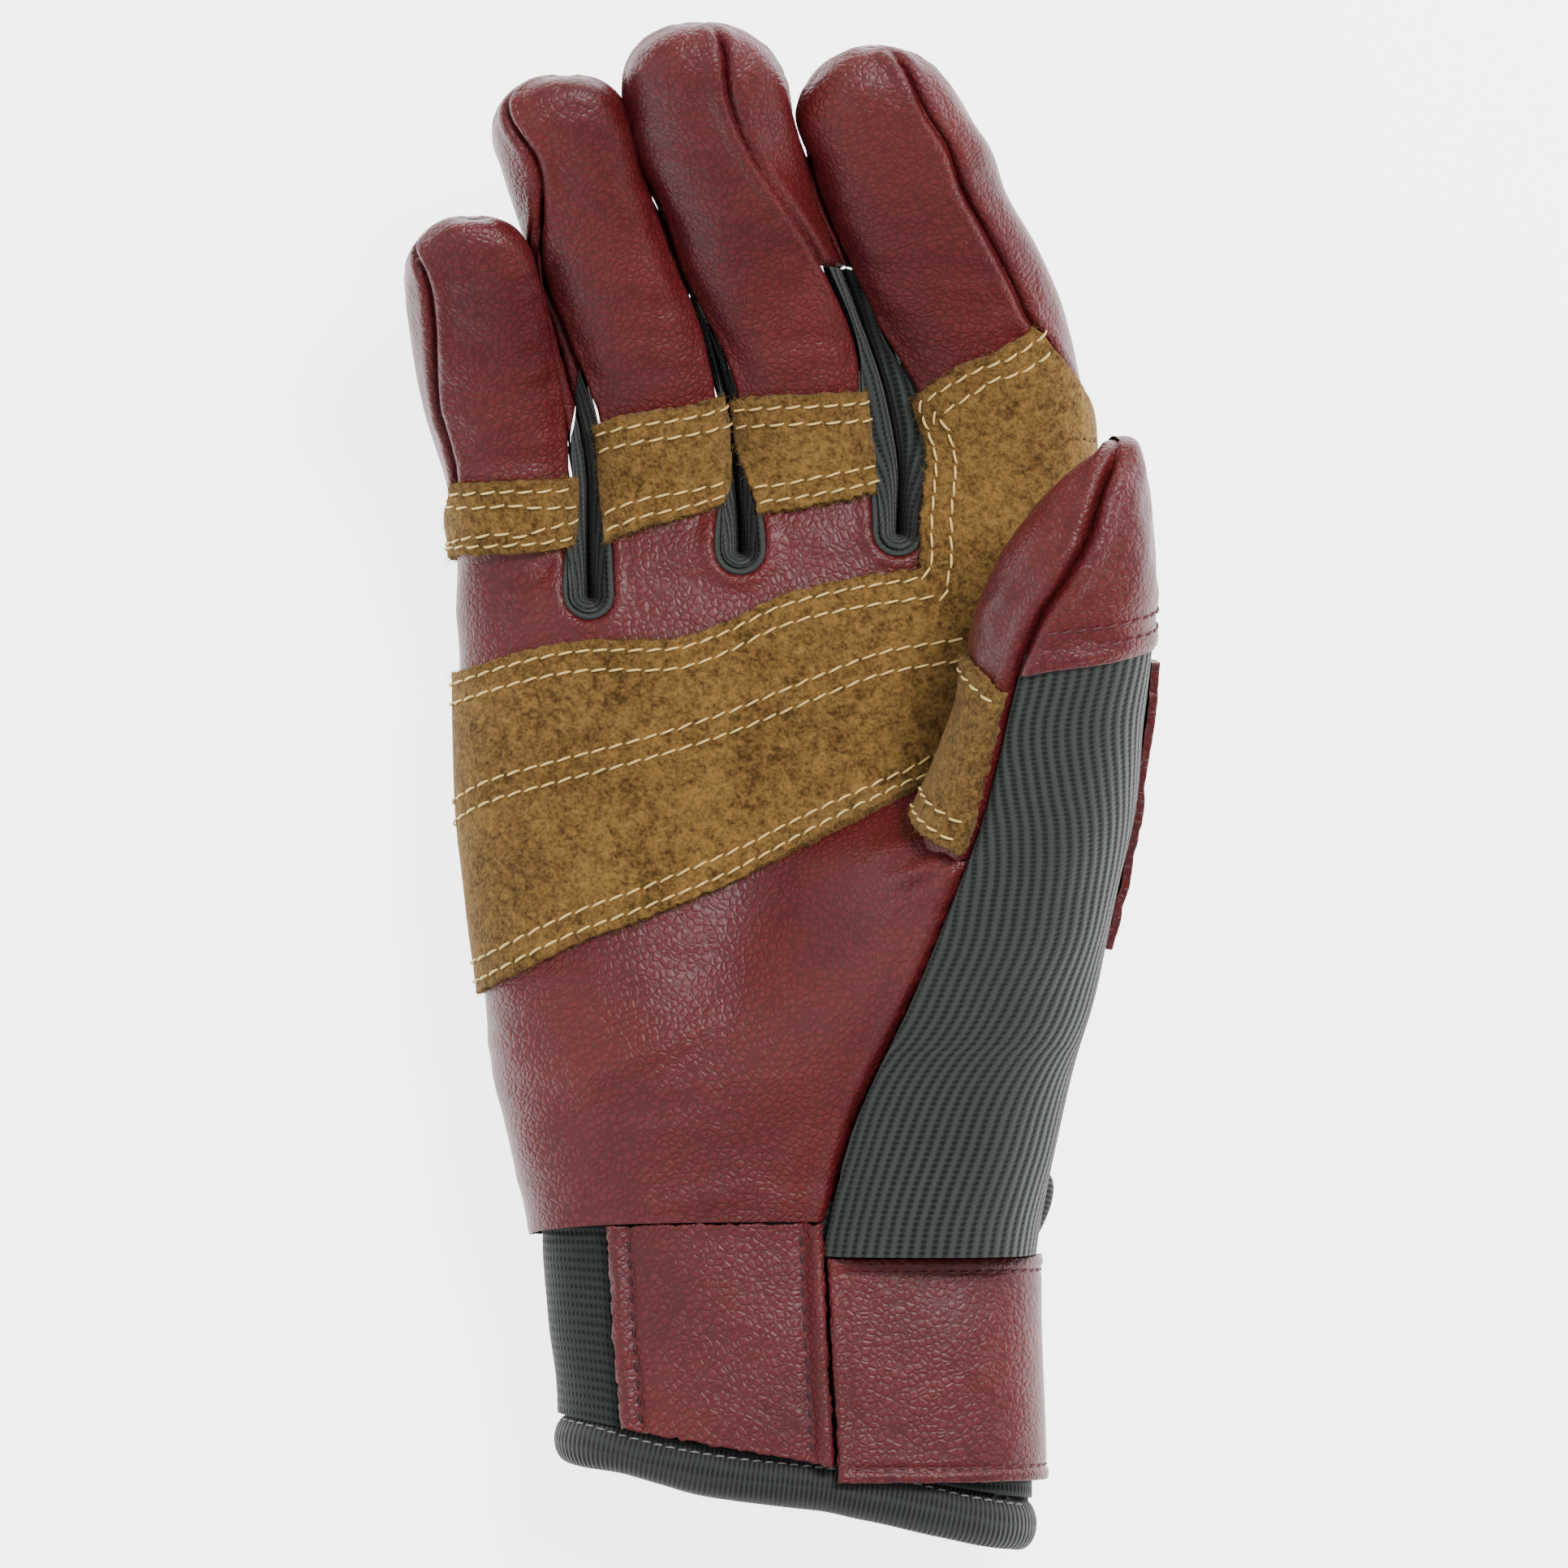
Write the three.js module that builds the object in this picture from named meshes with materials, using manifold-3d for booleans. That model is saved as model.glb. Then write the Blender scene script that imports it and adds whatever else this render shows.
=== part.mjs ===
// A right-hand climbing glove that lies on its back, palm up, with its fingers half curled.
//
// X runs towards the thumb, Y towards the fingertips and Z up out of the palm. Every panel is a
// sheet on one hand-shaped skin. The panels of the skin share their seam lines, each is thickened
// into a wall, and its edges are drawn back a little so that neighbours never touch.

import * as THREE from 'three';
import Module from 'manifold-3d';

const wasm = await Module();
wasm.setup();

const { lerp, smoothstep, degToRad, clamp } = THREE.MathUtils;

// Driving sizes in millimetres.
const palmWidth = 99;
const palmLength = 98;
const palmDepth = 33;
const littleLength = 58.5;
const ringLength = 74;
const middleLength = 77.2;
const indexLength = 71;
const littleWidth = 22.5;
const ringWidth = 22.3;
const middleWidth = 24.6;
const indexWidth = 28;
const fingerDepth = 22;
const thumbLength = 122.5;
const thumbWidth = 36.5;
const thumbDepth = 40;
const crotchWidth = 6.6;
const cuffLength = 44;
const cuffSlant = 13;
const cuffTuck = 5.5;
const strapWidth = 34;
const strapDrop = 3;
const strapTaper = 9;
const slitRise = 9;
const leatherWall = 1.2;
const fabricWall = 1.1;
const suedeWall = 1.3;
const strapWall = 2;
const bindingWidth = 7.5;
const bindingDepth = 5;
const slitBindingWidth = 2.8;
const slitBindingDepth = 3.4;
const seamGap = 0.3;

const wristLevel = -68.5;
const wristArch = 2.5;
const squareness = 0.77;
const fingerShare = 0.85;
const ulnarSeam = 205;
const radialSeam = -25;

const leather = { color: 0x6e2b34, roughness: 0.48, metalness: 0 };
const suede = { color: 0x9c7238, roughness: 0.95, metalness: 0 };
const ribbedFabric = { color: 0x3d4745, roughness: 0.8, metalness: 0 };
const bindingFabric = { color: 0x454b49, roughness: 0.85, metalness: 0 };

// The hand from the wrist (at 0) to the knuckles (at 1), in shares of the palm's width and depth.
const palmRows = [
  { at: 0.00, left: -0.391, right: 0.392, back: 0.03, front: 1.02 },
  { at: 0.15, left: -0.426, right: 0.402, back: 0.00, front: 1.04 },
  { at: 0.28, left: -0.451, right: 0.408, back: -0.03, front: 1.05 },
  { at: 0.36, left: -0.458, right: 0.415, back: -0.04, front: 1.05 },
  { at: 0.53, left: -0.479, right: 0.435, back: -0.05, front: 1.03 },
  { at: 0.66, left: -0.493, right: 0.450, back: -0.05, front: 1.00 },
  { at: 0.79, left: -0.498, right: 0.458, back: -0.04, front: 0.97 },
  { at: 0.90, left: -0.500, right: 0.463, back: -0.02, front: 0.94 },
  { at: 1.00, left: -0.508, right: 0.466, back: 0.00, front: 0.92 },
  { at: 1.20, left: -0.514, right: 0.468, back: 0.00, front: 0.92 },
];

// The wrist below the palm, from the palm's edge (at 0) to the far end of the cuff (at 1).
const cuffRows = [
  { at: 0.00, left: -0.391, right: 0.392, back: 0.03, front: 1.02 },
  { at: 0.35, left: -0.380, right: 0.395, back: 0.04, front: 1.03 },
  { at: 0.70, left: -0.366, right: 0.400, back: 0.04, front: 1.03 },
  { at: 1.00, left: -0.362, right: 0.402, back: 0.05, front: 1.02 },
];

// Soft swellings and hollows of the palm: place in shares of the palm, reach and height in shares
// of its width and depth.
const palmForms = [
  { name: 'heel by the little finger', across: -0.24, along: 0.28, reach: 0.24, height: 0.05 },
  { name: 'hollow of the palm', across: 0.02, along: 0.55, reach: 0.22, height: -0.07 },
  { name: 'pad under the ring finger', across: -0.20, along: 0.88, reach: 0.14, height: 0.04 },
  { name: 'pad under the middle finger', across: 0.05, along: 0.90, reach: 0.14, height: 0.04 },
];

// The three crotches between the fingers, in shares of the palm's width and length.
const crotches = [
  { across: -0.297, along: 0.963 },
  { across: -0.066, along: 1.032 },
  { across: 0.176, along: 1.061 },
];
const knuckleEnds = [0.944, 1.107];

// Each finger starts at a root in the palm. Its rows run from root (at 0) to tip (at 1): aside and
// rise are shares of its length, width and depth shares of its own, and ulnar and radial give the
// angle of the two front seams on the section, with 90 in the middle of the palm side.
const fingers = [
  {
    name: 'little', length: littleLength, width: littleWidth, capFrom: 0.80, capPower: 2.5,
    across: -0.406, along: 0.9745, lift: 0.44,
    rows: [
      { at: 0.00, aside: 0.000, rise: 0.000, width: 0.86, depth: 1.18, ulnar: 205, radial: 38 },
      { at: 0.15, aside: -0.003, rise: 0.020, width: 0.86, depth: 1.12, ulnar: 200, radial: 38 },
      { at: 0.32, aside: -0.013, rise: 0.060, width: 0.92, depth: 1.04, ulnar: 145, radial: 36 },
      { at: 0.53, aside: -0.061, rise: 0.155, width: 0.99, depth: 0.96, ulnar: 137, radial: 20 },
      { at: 0.74, aside: -0.104, rise: 0.290, width: 0.94, depth: 0.88, ulnar: 124, radial: 8 },
      { at: 0.86, aside: -0.119, rise: 0.385, width: 0.90, depth: 0.82, ulnar: 130, radial: 4 },
      { at: 0.94, aside: -0.117, rise: 0.450, width: 0.88, depth: 0.80, ulnar: 168, radial: 0 },
      { at: 1.00, aside: -0.115, rise: 0.500, width: 0.87, depth: 0.80, ulnar: 180, radial: 0 },
    ],
  },
  {
    name: 'ring', length: ringLength, width: ringWidth, capFrom: 0.85, capPower: 2.5,
    across: -0.182, along: 1.0306, lift: 0.4545,
    rows: [
      { at: 0.00, aside: 0.000, rise: 0.000, width: 0.98, depth: 1.10, ulnar: 142, radial: 38 },
      { at: 0.10, aside: 0.002, rise: 0.015, width: 0.98, depth: 1.08, ulnar: 142, radial: 38 },
      { at: 0.30, aside: -0.008, rise: 0.065, width: 0.99, depth: 1.02, ulnar: 144, radial: 36 },
      { at: 0.51, aside: -0.068, rise: 0.165, width: 0.97, depth: 0.95, ulnar: 160, radial: 18 },
      { at: 0.62, aside: -0.115, rise: 0.230, width: 0.93, depth: 0.92, ulnar: 161, radial: 8 },
      { at: 0.72, aside: -0.154, rise: 0.295, width: 0.93, depth: 0.90, ulnar: 128, radial: 4 },
      { at: 0.83, aside: -0.193, rise: 0.370, width: 0.94, depth: 0.88, ulnar: 112, radial: 0 },
      { at: 0.91, aside: -0.207, rise: 0.425, width: 0.95, depth: 0.86, ulnar: 135, radial: 0 },
      { at: 1.00, aside: -0.200, rise: 0.480, width: 0.94, depth: 0.85, ulnar: 180, radial: 0 },
    ],
  },
  {
    name: 'middle', length: middleLength, width: middleWidth, capFrom: 0.855, capPower: 2.2,
    across: 0.042, along: 1.0765, lift: 0.4545,
    rows: [
      { at: 0.00, aside: 0.000, rise: 0.000, width: 0.92, depth: 1.10, ulnar: 142, radial: 38 },
      { at: 0.10, aside: -0.005, rise: 0.018, width: 0.92, depth: 1.08, ulnar: 142, radial: 38 },
      { at: 0.29, aside: -0.024, rise: 0.080, width: 0.89, depth: 1.02, ulnar: 146, radial: 34 },
      { at: 0.40, aside: -0.050, rise: 0.130, width: 0.90, depth: 0.99, ulnar: 158, radial: 22 },
      { at: 0.54, aside: -0.103, rise: 0.215, width: 0.94, depth: 0.96, ulnar: 172, radial: 34 },
      { at: 0.65, aside: -0.133, rise: 0.290, width: 0.96, depth: 0.94, ulnar: 176, radial: 60 },
      { at: 0.74, aside: -0.173, rise: 0.350, width: 1.00, depth: 0.93, ulnar: 180, radial: 72 },
      { at: 0.86, aside: -0.202, rise: 0.430, width: 1.01, depth: 0.92, ulnar: 180, radial: 80 },
      { at: 1.00, aside: -0.218, rise: 0.505, width: 1.00, depth: 0.90, ulnar: 180, radial: 72 },
    ],
  },
  {
    name: 'index', length: indexLength, width: indexWidth, capFrom: 0.80, capPower: 2.0,
    across: 0.345, along: 1.107, lift: 0.4545,
    rows: [
      { at: 0.00, aside: 0.000, rise: 0.000, width: 0.93, depth: 1.12, ulnar: 142, radial: -25 },
      { at: 0.14, aside: -0.005, rise: 0.020, width: 0.95, depth: 1.10, ulnar: 142, radial: -22 },
      { at: 0.29, aside: -0.035, rise: 0.065, width: 0.99, depth: 1.05, ulnar: 146, radial: 25 },
      { at: 0.42, aside: -0.078, rise: 0.125, width: 1.06, depth: 1.02, ulnar: 160, radial: 57 },
      { at: 0.50, aside: -0.107, rise: 0.170, width: 1.07, depth: 1.00, ulnar: 166, radial: 62 },
      { at: 0.60, aside: -0.152, rise: 0.235, width: 1.05, depth: 0.98, ulnar: 172, radial: 64 },
      { at: 0.70, aside: -0.203, rise: 0.300, width: 1.00, depth: 0.95, ulnar: 176, radial: 64 },
      { at: 0.78, aside: -0.227, rise: 0.355, width: 0.98, depth: 0.92, ulnar: 180, radial: 65 },
      { at: 0.87, aside: -0.272, rise: 0.415, width: 0.96, depth: 0.90, ulnar: 180, radial: 66 },
      { at: 1.00, aside: -0.285, rise: 0.490, width: 0.95, depth: 0.88, ulnar: 180, radial: 66 },
    ],
  },
];

// The thumb is a tube from the wrist (at 0) to its tip (at 1). Its middle lies across and lift from
// the palm's axis and the table, in shares of the palm's width and the thumb's depth, and seam is
// the angle of the long seam between the palm-side leather and the gusset.
const thumbRows = [
  { at: 0.00, across: 0.211, lift: 0.490, width: 0.98, depth: 0.95, seam: 145 },
  { at: 0.05, across: 0.222, lift: 0.495, width: 0.98, depth: 0.97, seam: 144 },
  { at: 0.16, across: 0.248, lift: 0.525, width: 0.99, depth: 1.00, seam: 138 },
  { at: 0.31, across: 0.288, lift: 0.630, width: 1.01, depth: 1.02, seam: 117 },
  { at: 0.46, across: 0.339, lift: 0.800, width: 0.96, depth: 0.98, seam: 109 },
  { at: 0.54, across: 0.369, lift: 0.915, width: 0.90, depth: 0.90, seam: 109 },
  { at: 0.61, across: 0.394, lift: 1.010, width: 0.82, depth: 0.83, seam: 113 },
  { at: 0.69, across: 0.417, lift: 1.110, width: 0.76, depth: 0.77, seam: 116 },
  { at: 0.78, across: 0.424, lift: 1.215, width: 0.75, depth: 0.72, seam: 102 },
  { at: 0.83, across: 0.436, lift: 1.280, width: 0.70, depth: 0.69, seam: 93 },
  { at: 0.89, across: 0.453, lift: 1.350, width: 0.65, depth: 0.66, seam: 88 },
  { at: 0.94, across: 0.474, lift: 1.405, width: 0.62, depth: 0.64, seam: 88 },
  { at: 1.00, across: 0.507, lift: 1.470, width: 0.60, depth: 0.62, seam: 88 },
];
const thumbCapFrom = 0.80;
const thumbCapPower = 1.8;
const thumbBackSeam = 240;
const thumbHem = 0.745;

// The suede patch on the thumb's palm side, ends given at its outer and its seam edge, and the
// leather patch on the thumb's back.
const thumbSuedeBottom = [0.545, 0.500];
const thumbSuedeTop = [0.745, 0.695];
const thumbSuedeEdge = 172;
const thumbBackPatch = [0.38, 0.735];
const thumbBackPatchFrom = -8;
const thumbBackPatchTo = -90;

// The large suede patch of the palm, by column of the palm panel: bottom and top edge in shares of
// the palm's length.
const palmSuedeRows = [
  { at: 0.00, bottom: 0.345, top: 0.870 },
  { at: 0.35, bottom: 0.385, top: 0.890 },
  { at: 0.85, bottom: 0.460, top: 0.930 },
  { at: 1.50, bottom: 0.525, top: 0.935 },
  { at: 2.00, bottom: 0.600, top: 1.000 },
  { at: 3.00, bottom: 0.700, top: 1.040 },
  { at: 3.85, bottom: 0.780, top: 1.070 },
];
const indexSuedeFrom = 3.0;
const indexSuedeTop = [0.27, 0.42];

// The suede bands on three fingers: how far up each finger its ulnar and radial ends reach.
const bands = [
  { finger: 0, name: 'band_little', bottom: [0.145, 0.150], top: [0.325, 0.340] },
  { finger: 1, name: 'band_ring', bottom: [0.087, 0.113], top: [0.305, 0.360] },
  { finger: 2, name: 'band_middle', bottom: [0.065, 0.078], top: [0.284, 0.297] },
];

// The cuff's leather panel in shares of the palm's width, and the angles at which the strap ends,
// the loop patch goes on and the slit opens.
const panelEdges = [-0.272, 0.062];
const strapTurn = -120;
const loopPatchTurn = 22;
const slitFrom = -2;
const slitTo = -29;
const slitNotchTurn = 34;
const slitSpread = 13;
const slitStandsProud = 1.2;
const slitRows = [
  { share: 0.00, side: 1.0, out: 0.0 },
  { share: 0.25, side: 1.0, out: 0.0 },
  { share: 0.50, side: 1.0, out: 0.0 },
  { share: 0.77, side: 1.0, out: 0.0 },
  { share: 0.85, side: 1.0, out: 0.6 },
  { share: 0.92, side: 1.0, out: 0.9 },
  { share: 0.975, side: 0.7, out: 1.0 },
  { share: 1.00, side: 0.0, out: 1.0 },
];

// A column of a table at a place, on a smooth curve through the rows and straight beyond its ends.
function read(rows, column, at) {
  const last = rows.length - 1;
  const slope = (k) => {
    const before = rows[Math.max(k - 1, 0)];
    const after = rows[Math.min(k + 1, last)];
    return (after[column] - before[column]) / (after.at - before.at);
  };
  if (at <= rows[0].at) return rows[0][column] + slope(0) * (at - rows[0].at);
  if (at >= rows[last].at) return rows[last][column] + slope(last) * (at - rows[last].at);
  const k = rows.findIndex((row, i) => i < last && at < rows[i + 1].at);
  const span = rows[k + 1].at - rows[k].at;
  const t = (at - rows[k].at) / span;
  const blend = t * t * (3 - 2 * t);
  const ease = t * (1 - t) * span;
  return lerp(rows[k][column], rows[k + 1][column], blend)
    + ease * ((1 - t) * slope(k) - t * slope(k + 1));
}

const signedPower = (value) => Math.sign(value) * Math.abs(value) ** squareness;

// A point on a rounded-square section, at an angle from the thumb side over the palm side.
function around(x, y, z, halfWidth, halfDepth, angle) {
  const turn = degToRad(angle);
  const up = z + halfDepth * signedPower(Math.sin(turn));
  return new THREE.Vector3(x + halfWidth * signedPower(Math.cos(turn)), y, Math.max(0, up));
}

// The height that the palm's soft forms add at a place.
function palmRelief(x, y) {
  let height = 0;
  for (const form of palmForms) {
    const dx = (x - form.across * palmWidth) / (form.reach * palmWidth);
    const dy = (y - wristLevel - form.along * palmLength) / (form.reach * palmWidth);
    height += form.height * palmDepth * Math.exp(-(dx * dx + dy * dy));
  }
  return height;
}

// The hand's own section at a level, grown outwards by a distance.
function section(y, grow) {
  const above = y >= wristLevel;
  const rows = above ? palmRows : cuffRows;
  const at = above ? (y - wristLevel) / palmLength : (wristLevel - y) / cuffLength;
  const left = read(rows, 'left', at) * palmWidth - grow;
  const right = read(rows, 'right', at) * palmWidth + grow;
  const back = read(rows, 'back', at) * palmDepth - grow;
  const front = read(rows, 'front', at) * palmDepth + grow;
  return {
    x: (left + right) / 2,
    z: (back + front) / 2,
    halfWidth: (right - left) / 2,
    halfDepth: (front - back) / 2,
  };
}

function hand(angle, y, grow = 0) {
  const s = section(y, grow);
  const point = around(s.x, y, s.z, s.halfWidth, s.halfDepth, angle);
  const facing = Math.max(0, Math.sin(degToRad(angle)));
  point.z += facing * palmRelief(point.x, y) * smoothstep(y, wristLevel, wristLevel + 0.2 * palmLength);
  return point;
}

// The angle on the hand's front at which a point lies a given way across.
function angleAcross(x, y) {
  const s = section(y, 0);
  const share = clamp((x - s.x) / s.halfWidth, -1, 1);
  return Math.acos(Math.sign(share) * Math.abs(share) ** (1 / squareness)) * 180 / Math.PI;
}

const alongPalm = (share) => wristLevel + share * palmLength;
const crotchRadius = crotchWidth / 2;

// Columns run from the little finger's outer side (0) to the index finger's (3.85). Finger i takes
// the columns i to i + 0.85, and the crotch beside it the rest.
function crotchPoint(i, share) {
  const across = 2 * share - 1;
  const rise = crotchRadius * (1 - Math.sqrt(Math.max(0, 1 - across * across)));
  return {
    x: crotches[i].across * palmWidth + crotchRadius * across,
    y: alongPalm(crotches[i].along) + rise,
  };
}

function crotchAngle(i, share) {
  const point = crotchPoint(i, share);
  return angleAcross(point.x, alongPalm(crotches[i].along));
}

// The finger that a column belongs to, its share across that finger and, past it, across the crotch.
function columnPlace(column) {
  const i = clamp(Math.floor(column + 1e-9), 0, 3);
  const share = (column - i) / fingerShare;
  const gap = share > 1 + 1e-9 ? (column - i - fingerShare) / (1 - fingerShare) : 0;
  return { i, share, gap };
}

function handAngle(side, column) {
  const { i, share, gap } = columnPlace(column);
  const sign = side === 'front' ? 1 : -1;
  if (gap > 0) return sign * crotchAngle(i, gap);
  const ulnarEnd = side === 'front' ? ulnarSeam : ulnarSeam - 360;
  const from = i === 0 ? ulnarEnd : sign * crotchAngle(i - 1, 1);
  const to = i === 3 ? radialSeam : sign * crotchAngle(i, 0);
  return lerp(from, to, share);
}

function knuckleLine(column) {
  const { i, share, gap } = columnPlace(column);
  if (gap > 0) return crotchPoint(i, gap).y;
  const from = i === 0 ? alongPalm(knuckleEnds[0]) : crotchPoint(i - 1, 1).y;
  const to = i === 3 ? alongPalm(knuckleEnds[1]) : crotchPoint(i, 0).y;
  return lerp(from, to, share);
}

const wristLine = (angle) => wristLevel + wristArch * Math.max(0, Math.sin(degToRad(angle)));

// How much of its full section is left near a rounded tip.
function tipShare(s, from, power) {
  const t = clamp((s - from) / (1 - from), 0, 1);
  return Math.max(0, 1 - t ** power) ** (1 / power);
}

function digit(finger, angle, s) {
  const size = tipShare(s, finger.capFrom, finger.capPower) / 2;
  return around(
    finger.across * palmWidth + read(finger.rows, 'aside', s) * finger.length,
    alongPalm(finger.along) + s * finger.length,
    finger.lift * palmDepth + read(finger.rows, 'rise', s) * finger.length,
    size * read(finger.rows, 'width', s) * finger.width,
    size * read(finger.rows, 'depth', s) * fingerDepth,
    angle,
  );
}

// The four seam angles round a finger. The outer seams of the hand are one seam near the root and
// part into a front and a back seam further up.
const outerSeamParts = 0.18;
function seams(i, s) {
  const rows = fingers[i].rows;
  const closing = smoothstep(s, 0.80, 0.95);
  const parting = smoothstep(s, outerSeamParts, 0.40);
  let backUlnar = lerp(-142, -180, closing);
  let backRadial = lerp(-35, 0, closing);
  let frontUlnar = read(rows, 'ulnar', s);
  let frontRadial = read(rows, 'radial', s);
  if (i === 0) backUlnar = lerp(ulnarSeam - 360, backUlnar, parting);
  if (i === 3) backRadial = lerp(radialSeam, backRadial, parting);
  if (i === 0 && s <= outerSeamParts) frontUlnar = ulnarSeam;
  if (i === 3 && s <= outerSeamParts) frontRadial = radialSeam;
  return {
    frontUlnar: Math.min(frontUlnar, backUlnar + 360),
    frontRadial: Math.max(frontRadial, backRadial),
    backRadial,
    backUlnar,
  };
}

const rootBlend = 0.22;

// The skin of the front or the back of the glove. Rows run over the palm from 0 to 1, and on along
// a finger from 1 to 2.
function skin(side, column, row) {
  const angle = handAngle(side, column);
  const top = knuckleLine(column);
  if (row <= 1) return hand(angle, lerp(wristLine(angle), top, row));
  const { i, share } = columnPlace(column);
  const s = row - 1;
  const edge = seams(i, s);
  const tube = side === 'front'
    ? digit(fingers[i], lerp(edge.frontUlnar, edge.frontRadial, share), s)
    : digit(fingers[i], lerp(edge.backUlnar, edge.backRadial, share), s);
  return hand(angle, top + s * fingers[i].length).lerp(tube, smoothstep(s, 0, rootBlend));
}

// The side wall of a finger, from its front seam (0) to its back seam (1).
function wall(i, way, s, share) {
  const edge = seams(i, s);
  const radial = way === 'radial';
  const column = radial ? i + fingerShare : i;
  const from = radial ? edge.frontRadial : edge.frontUlnar - 360;
  const to = radial ? edge.backRadial : edge.backUlnar;
  const tube = digit(fingers[i], lerp(from, to, share), s);
  const blend = smoothstep(s, 0, rootBlend);
  if (blend === 1) return tube;
  const y = knuckleLine(column) + s * fingers[i].length;
  const slab = hand(handAngle('front', column), y).lerp(hand(handAngle('back', column), y), share);
  return slab.lerp(tube, blend);
}

function thumb(angle, s, grow = 0) {
  const size = tipShare(s, thumbCapFrom, thumbCapPower) / 2;
  return around(
    read(thumbRows, 'across', s) * palmWidth,
    wristLevel - strapDrop + seamGap + s * thumbLength,
    read(thumbRows, 'lift', s) * thumbDepth,
    size * read(thumbRows, 'width', s) * thumbWidth + grow,
    size * read(thumbRows, 'depth', s) * thumbDepth + grow,
    angle,
  );
}

// Evenly spaced shares from one value to another.
function steps(from, to, count) {
  return Array.from({ length: count + 1 }, (_, k) => lerp(from, to, k / count));
}

// A sheet: a grid of points with two triangles in each cell that is kept.
function sheet(columns, rows, point, kept = () => true) {
  const points = rows.flatMap((row) => columns.map((column) => point(column, row)));
  const triangles = [];
  for (let r = 0; r + 1 < rows.length; r++) {
    for (let c = 0; c + 1 < columns.length; c++) {
      if (!kept(columns[c], rows[r])) continue;
      const a = r * columns.length + c;
      const b = a + columns.length;
      triangles.push([a, a + 1, b + 1], [a, b + 1, b]);
    }
  }
  return weld({ points, triangles });
}

const weldKey = (p) => `${Math.round(p.x * 1e3)},${Math.round(p.y * 1e3)},${Math.round(p.z * 1e3)}`;

// Joins points that lie together, and drops closed-up triangles and points that none uses.
function weld({ points, triangles }) {
  const found = new Map();
  const kept = [];
  const corner = (k) => {
    const key = weldKey(points[k]);
    if (!found.has(key)) {
      found.set(key, kept.length);
      kept.push(points[k]);
    }
    return found.get(key);
  };
  const keys = points.map(weldKey);
  const open = ([a, b, c]) => keys[a] !== keys[b] && keys[b] !== keys[c] && keys[c] !== keys[a];
  const joined = triangles.filter(open).map((triangle) => triangle.map(corner));
  return { points: kept, triangles: joined };
}

// Adds each triangle's normal to its corners, weighted by the corner's angle.
function addNormals(normals, { points, triangles }) {
  for (const triangle of triangles) {
    const [a, b, c] = triangle.map((k) => points[k]);
    const face = b.clone().sub(a).cross(c.clone().sub(a)).normalize();
    triangle.forEach((k, corner) => {
      const next = points[triangle[(corner + 1) % 3]].clone().sub(points[k]);
      const last = points[triangle[(corner + 2) % 3]].clone().sub(points[k]);
      const key = weldKey(points[k]);
      if (!normals.has(key)) normals.set(key, new THREE.Vector3());
      normals.get(key).addScaledVector(face, next.angleTo(last));
    });
  }
}

// The directed edges that only one triangle uses, each with the corner opposite.
function openEdges(triangles) {
  const edges = new Map();
  for (const [a, b, c] of triangles) {
    for (const [from, to, far] of [[a, b, c], [b, c, a], [c, a, b]]) {
      edges.set(`${from},${to}`, { from, to, far });
    }
  }
  return [...edges.values()].filter((edge) => !edges.has(`${edge.to},${edge.from}`));
}

// How far each corner on an open edge draws back into the sheet.
function drawBack({ points, triangles }, distance) {
  const shifts = points.map(() => []);
  for (const { from, to, far } of openEdges(triangles)) {
    const along = points[to].clone().sub(points[from]).normalize();
    const inward = points[far].clone().sub(points[from]);
    inward.addScaledVector(along, -inward.dot(along)).normalize();
    shifts[from].push(inward);
    shifts[to].push(inward);
  }
  return shifts.map((inwards) => {
    const sum = new THREE.Vector3();
    for (const inward of inwards) sum.add(inward);
    if (inwards.length === 0 || sum.length() < 1e-6) return new THREE.Vector3();
    const miter = Math.max(0.3, sum.length() / inwards.length);
    return sum.normalize().multiplyScalar(distance / miter);
  });
}

// A sheet as a closed wall between two distances from its surface.
function thicken(piece, normals, outer, inner, inset = seamGap / 2 + 0.05) {
  const { points, triangles } = piece;
  const shifts = drawBack(piece, inset);
  const normal = points.map((point) => normals.get(weldKey(point)).clone().normalize());
  const level = (distance) => points.map((point, k) => {
    const moved = point.clone().add(shifts[k]).addScaledVector(normal[k], distance);
    moved.z = Math.max(0, moved.z);
    return moved;
  });
  const count = points.length;
  const faces = [];
  for (const [a, b, c] of triangles) faces.push([a, b, c], [count + a, count + c, count + b]);
  for (const { from, to } of openEdges(triangles)) {
    faces.push([from, count + from, count + to], [from, count + to, to]);
  }
  return { points: [...level(outer), ...level(inner)], triangles: faces };
}

// A sheet of its own that lies on the skin, as a closed wall.
function overlay(piece, outer, inner) {
  const normals = new Map();
  addNormals(normals, piece);
  return thicken(piece, normals, outer, inner);
}

// A closed solid from rings of points, each ring in the same order.
function ringSolid(rings) {
  const size = rings[0].length;
  const points = rings.flat();
  const triangles = [];
  for (let r = 0; r + 1 < rings.length; r++) {
    for (let k = 0; k < size; k++) {
      const a = r * size + k;
      const b = r * size + (k + 1) % size;
      triangles.push([a, b, b + size], [a, b + size, a + size]);
    }
  }
  for (const [row, flip] of [[0, true], [rings.length - 1, false]]) {
    const middle = points.length;
    points.push(rings[row].reduce((sum, p) => sum.add(p), new THREE.Vector3()).divideScalar(size));
    for (let k = 0; k < size; k++) {
      const a = row * size + k;
      const b = row * size + (k + 1) % size;
      triangles.push(flip ? [b, a, middle] : [a, b, middle]);
    }
  }
  return weld({ points, triangles });
}

function toManifold({ points, triangles }) {
  return new wasm.Manifold(new wasm.Mesh({
    numProp: 3,
    vertProperties: new Float32Array(points.flatMap((p) => [p.x, p.y, p.z])),
    triVerts: new Uint32Array(triangles.flat()),
  }));
}

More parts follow.
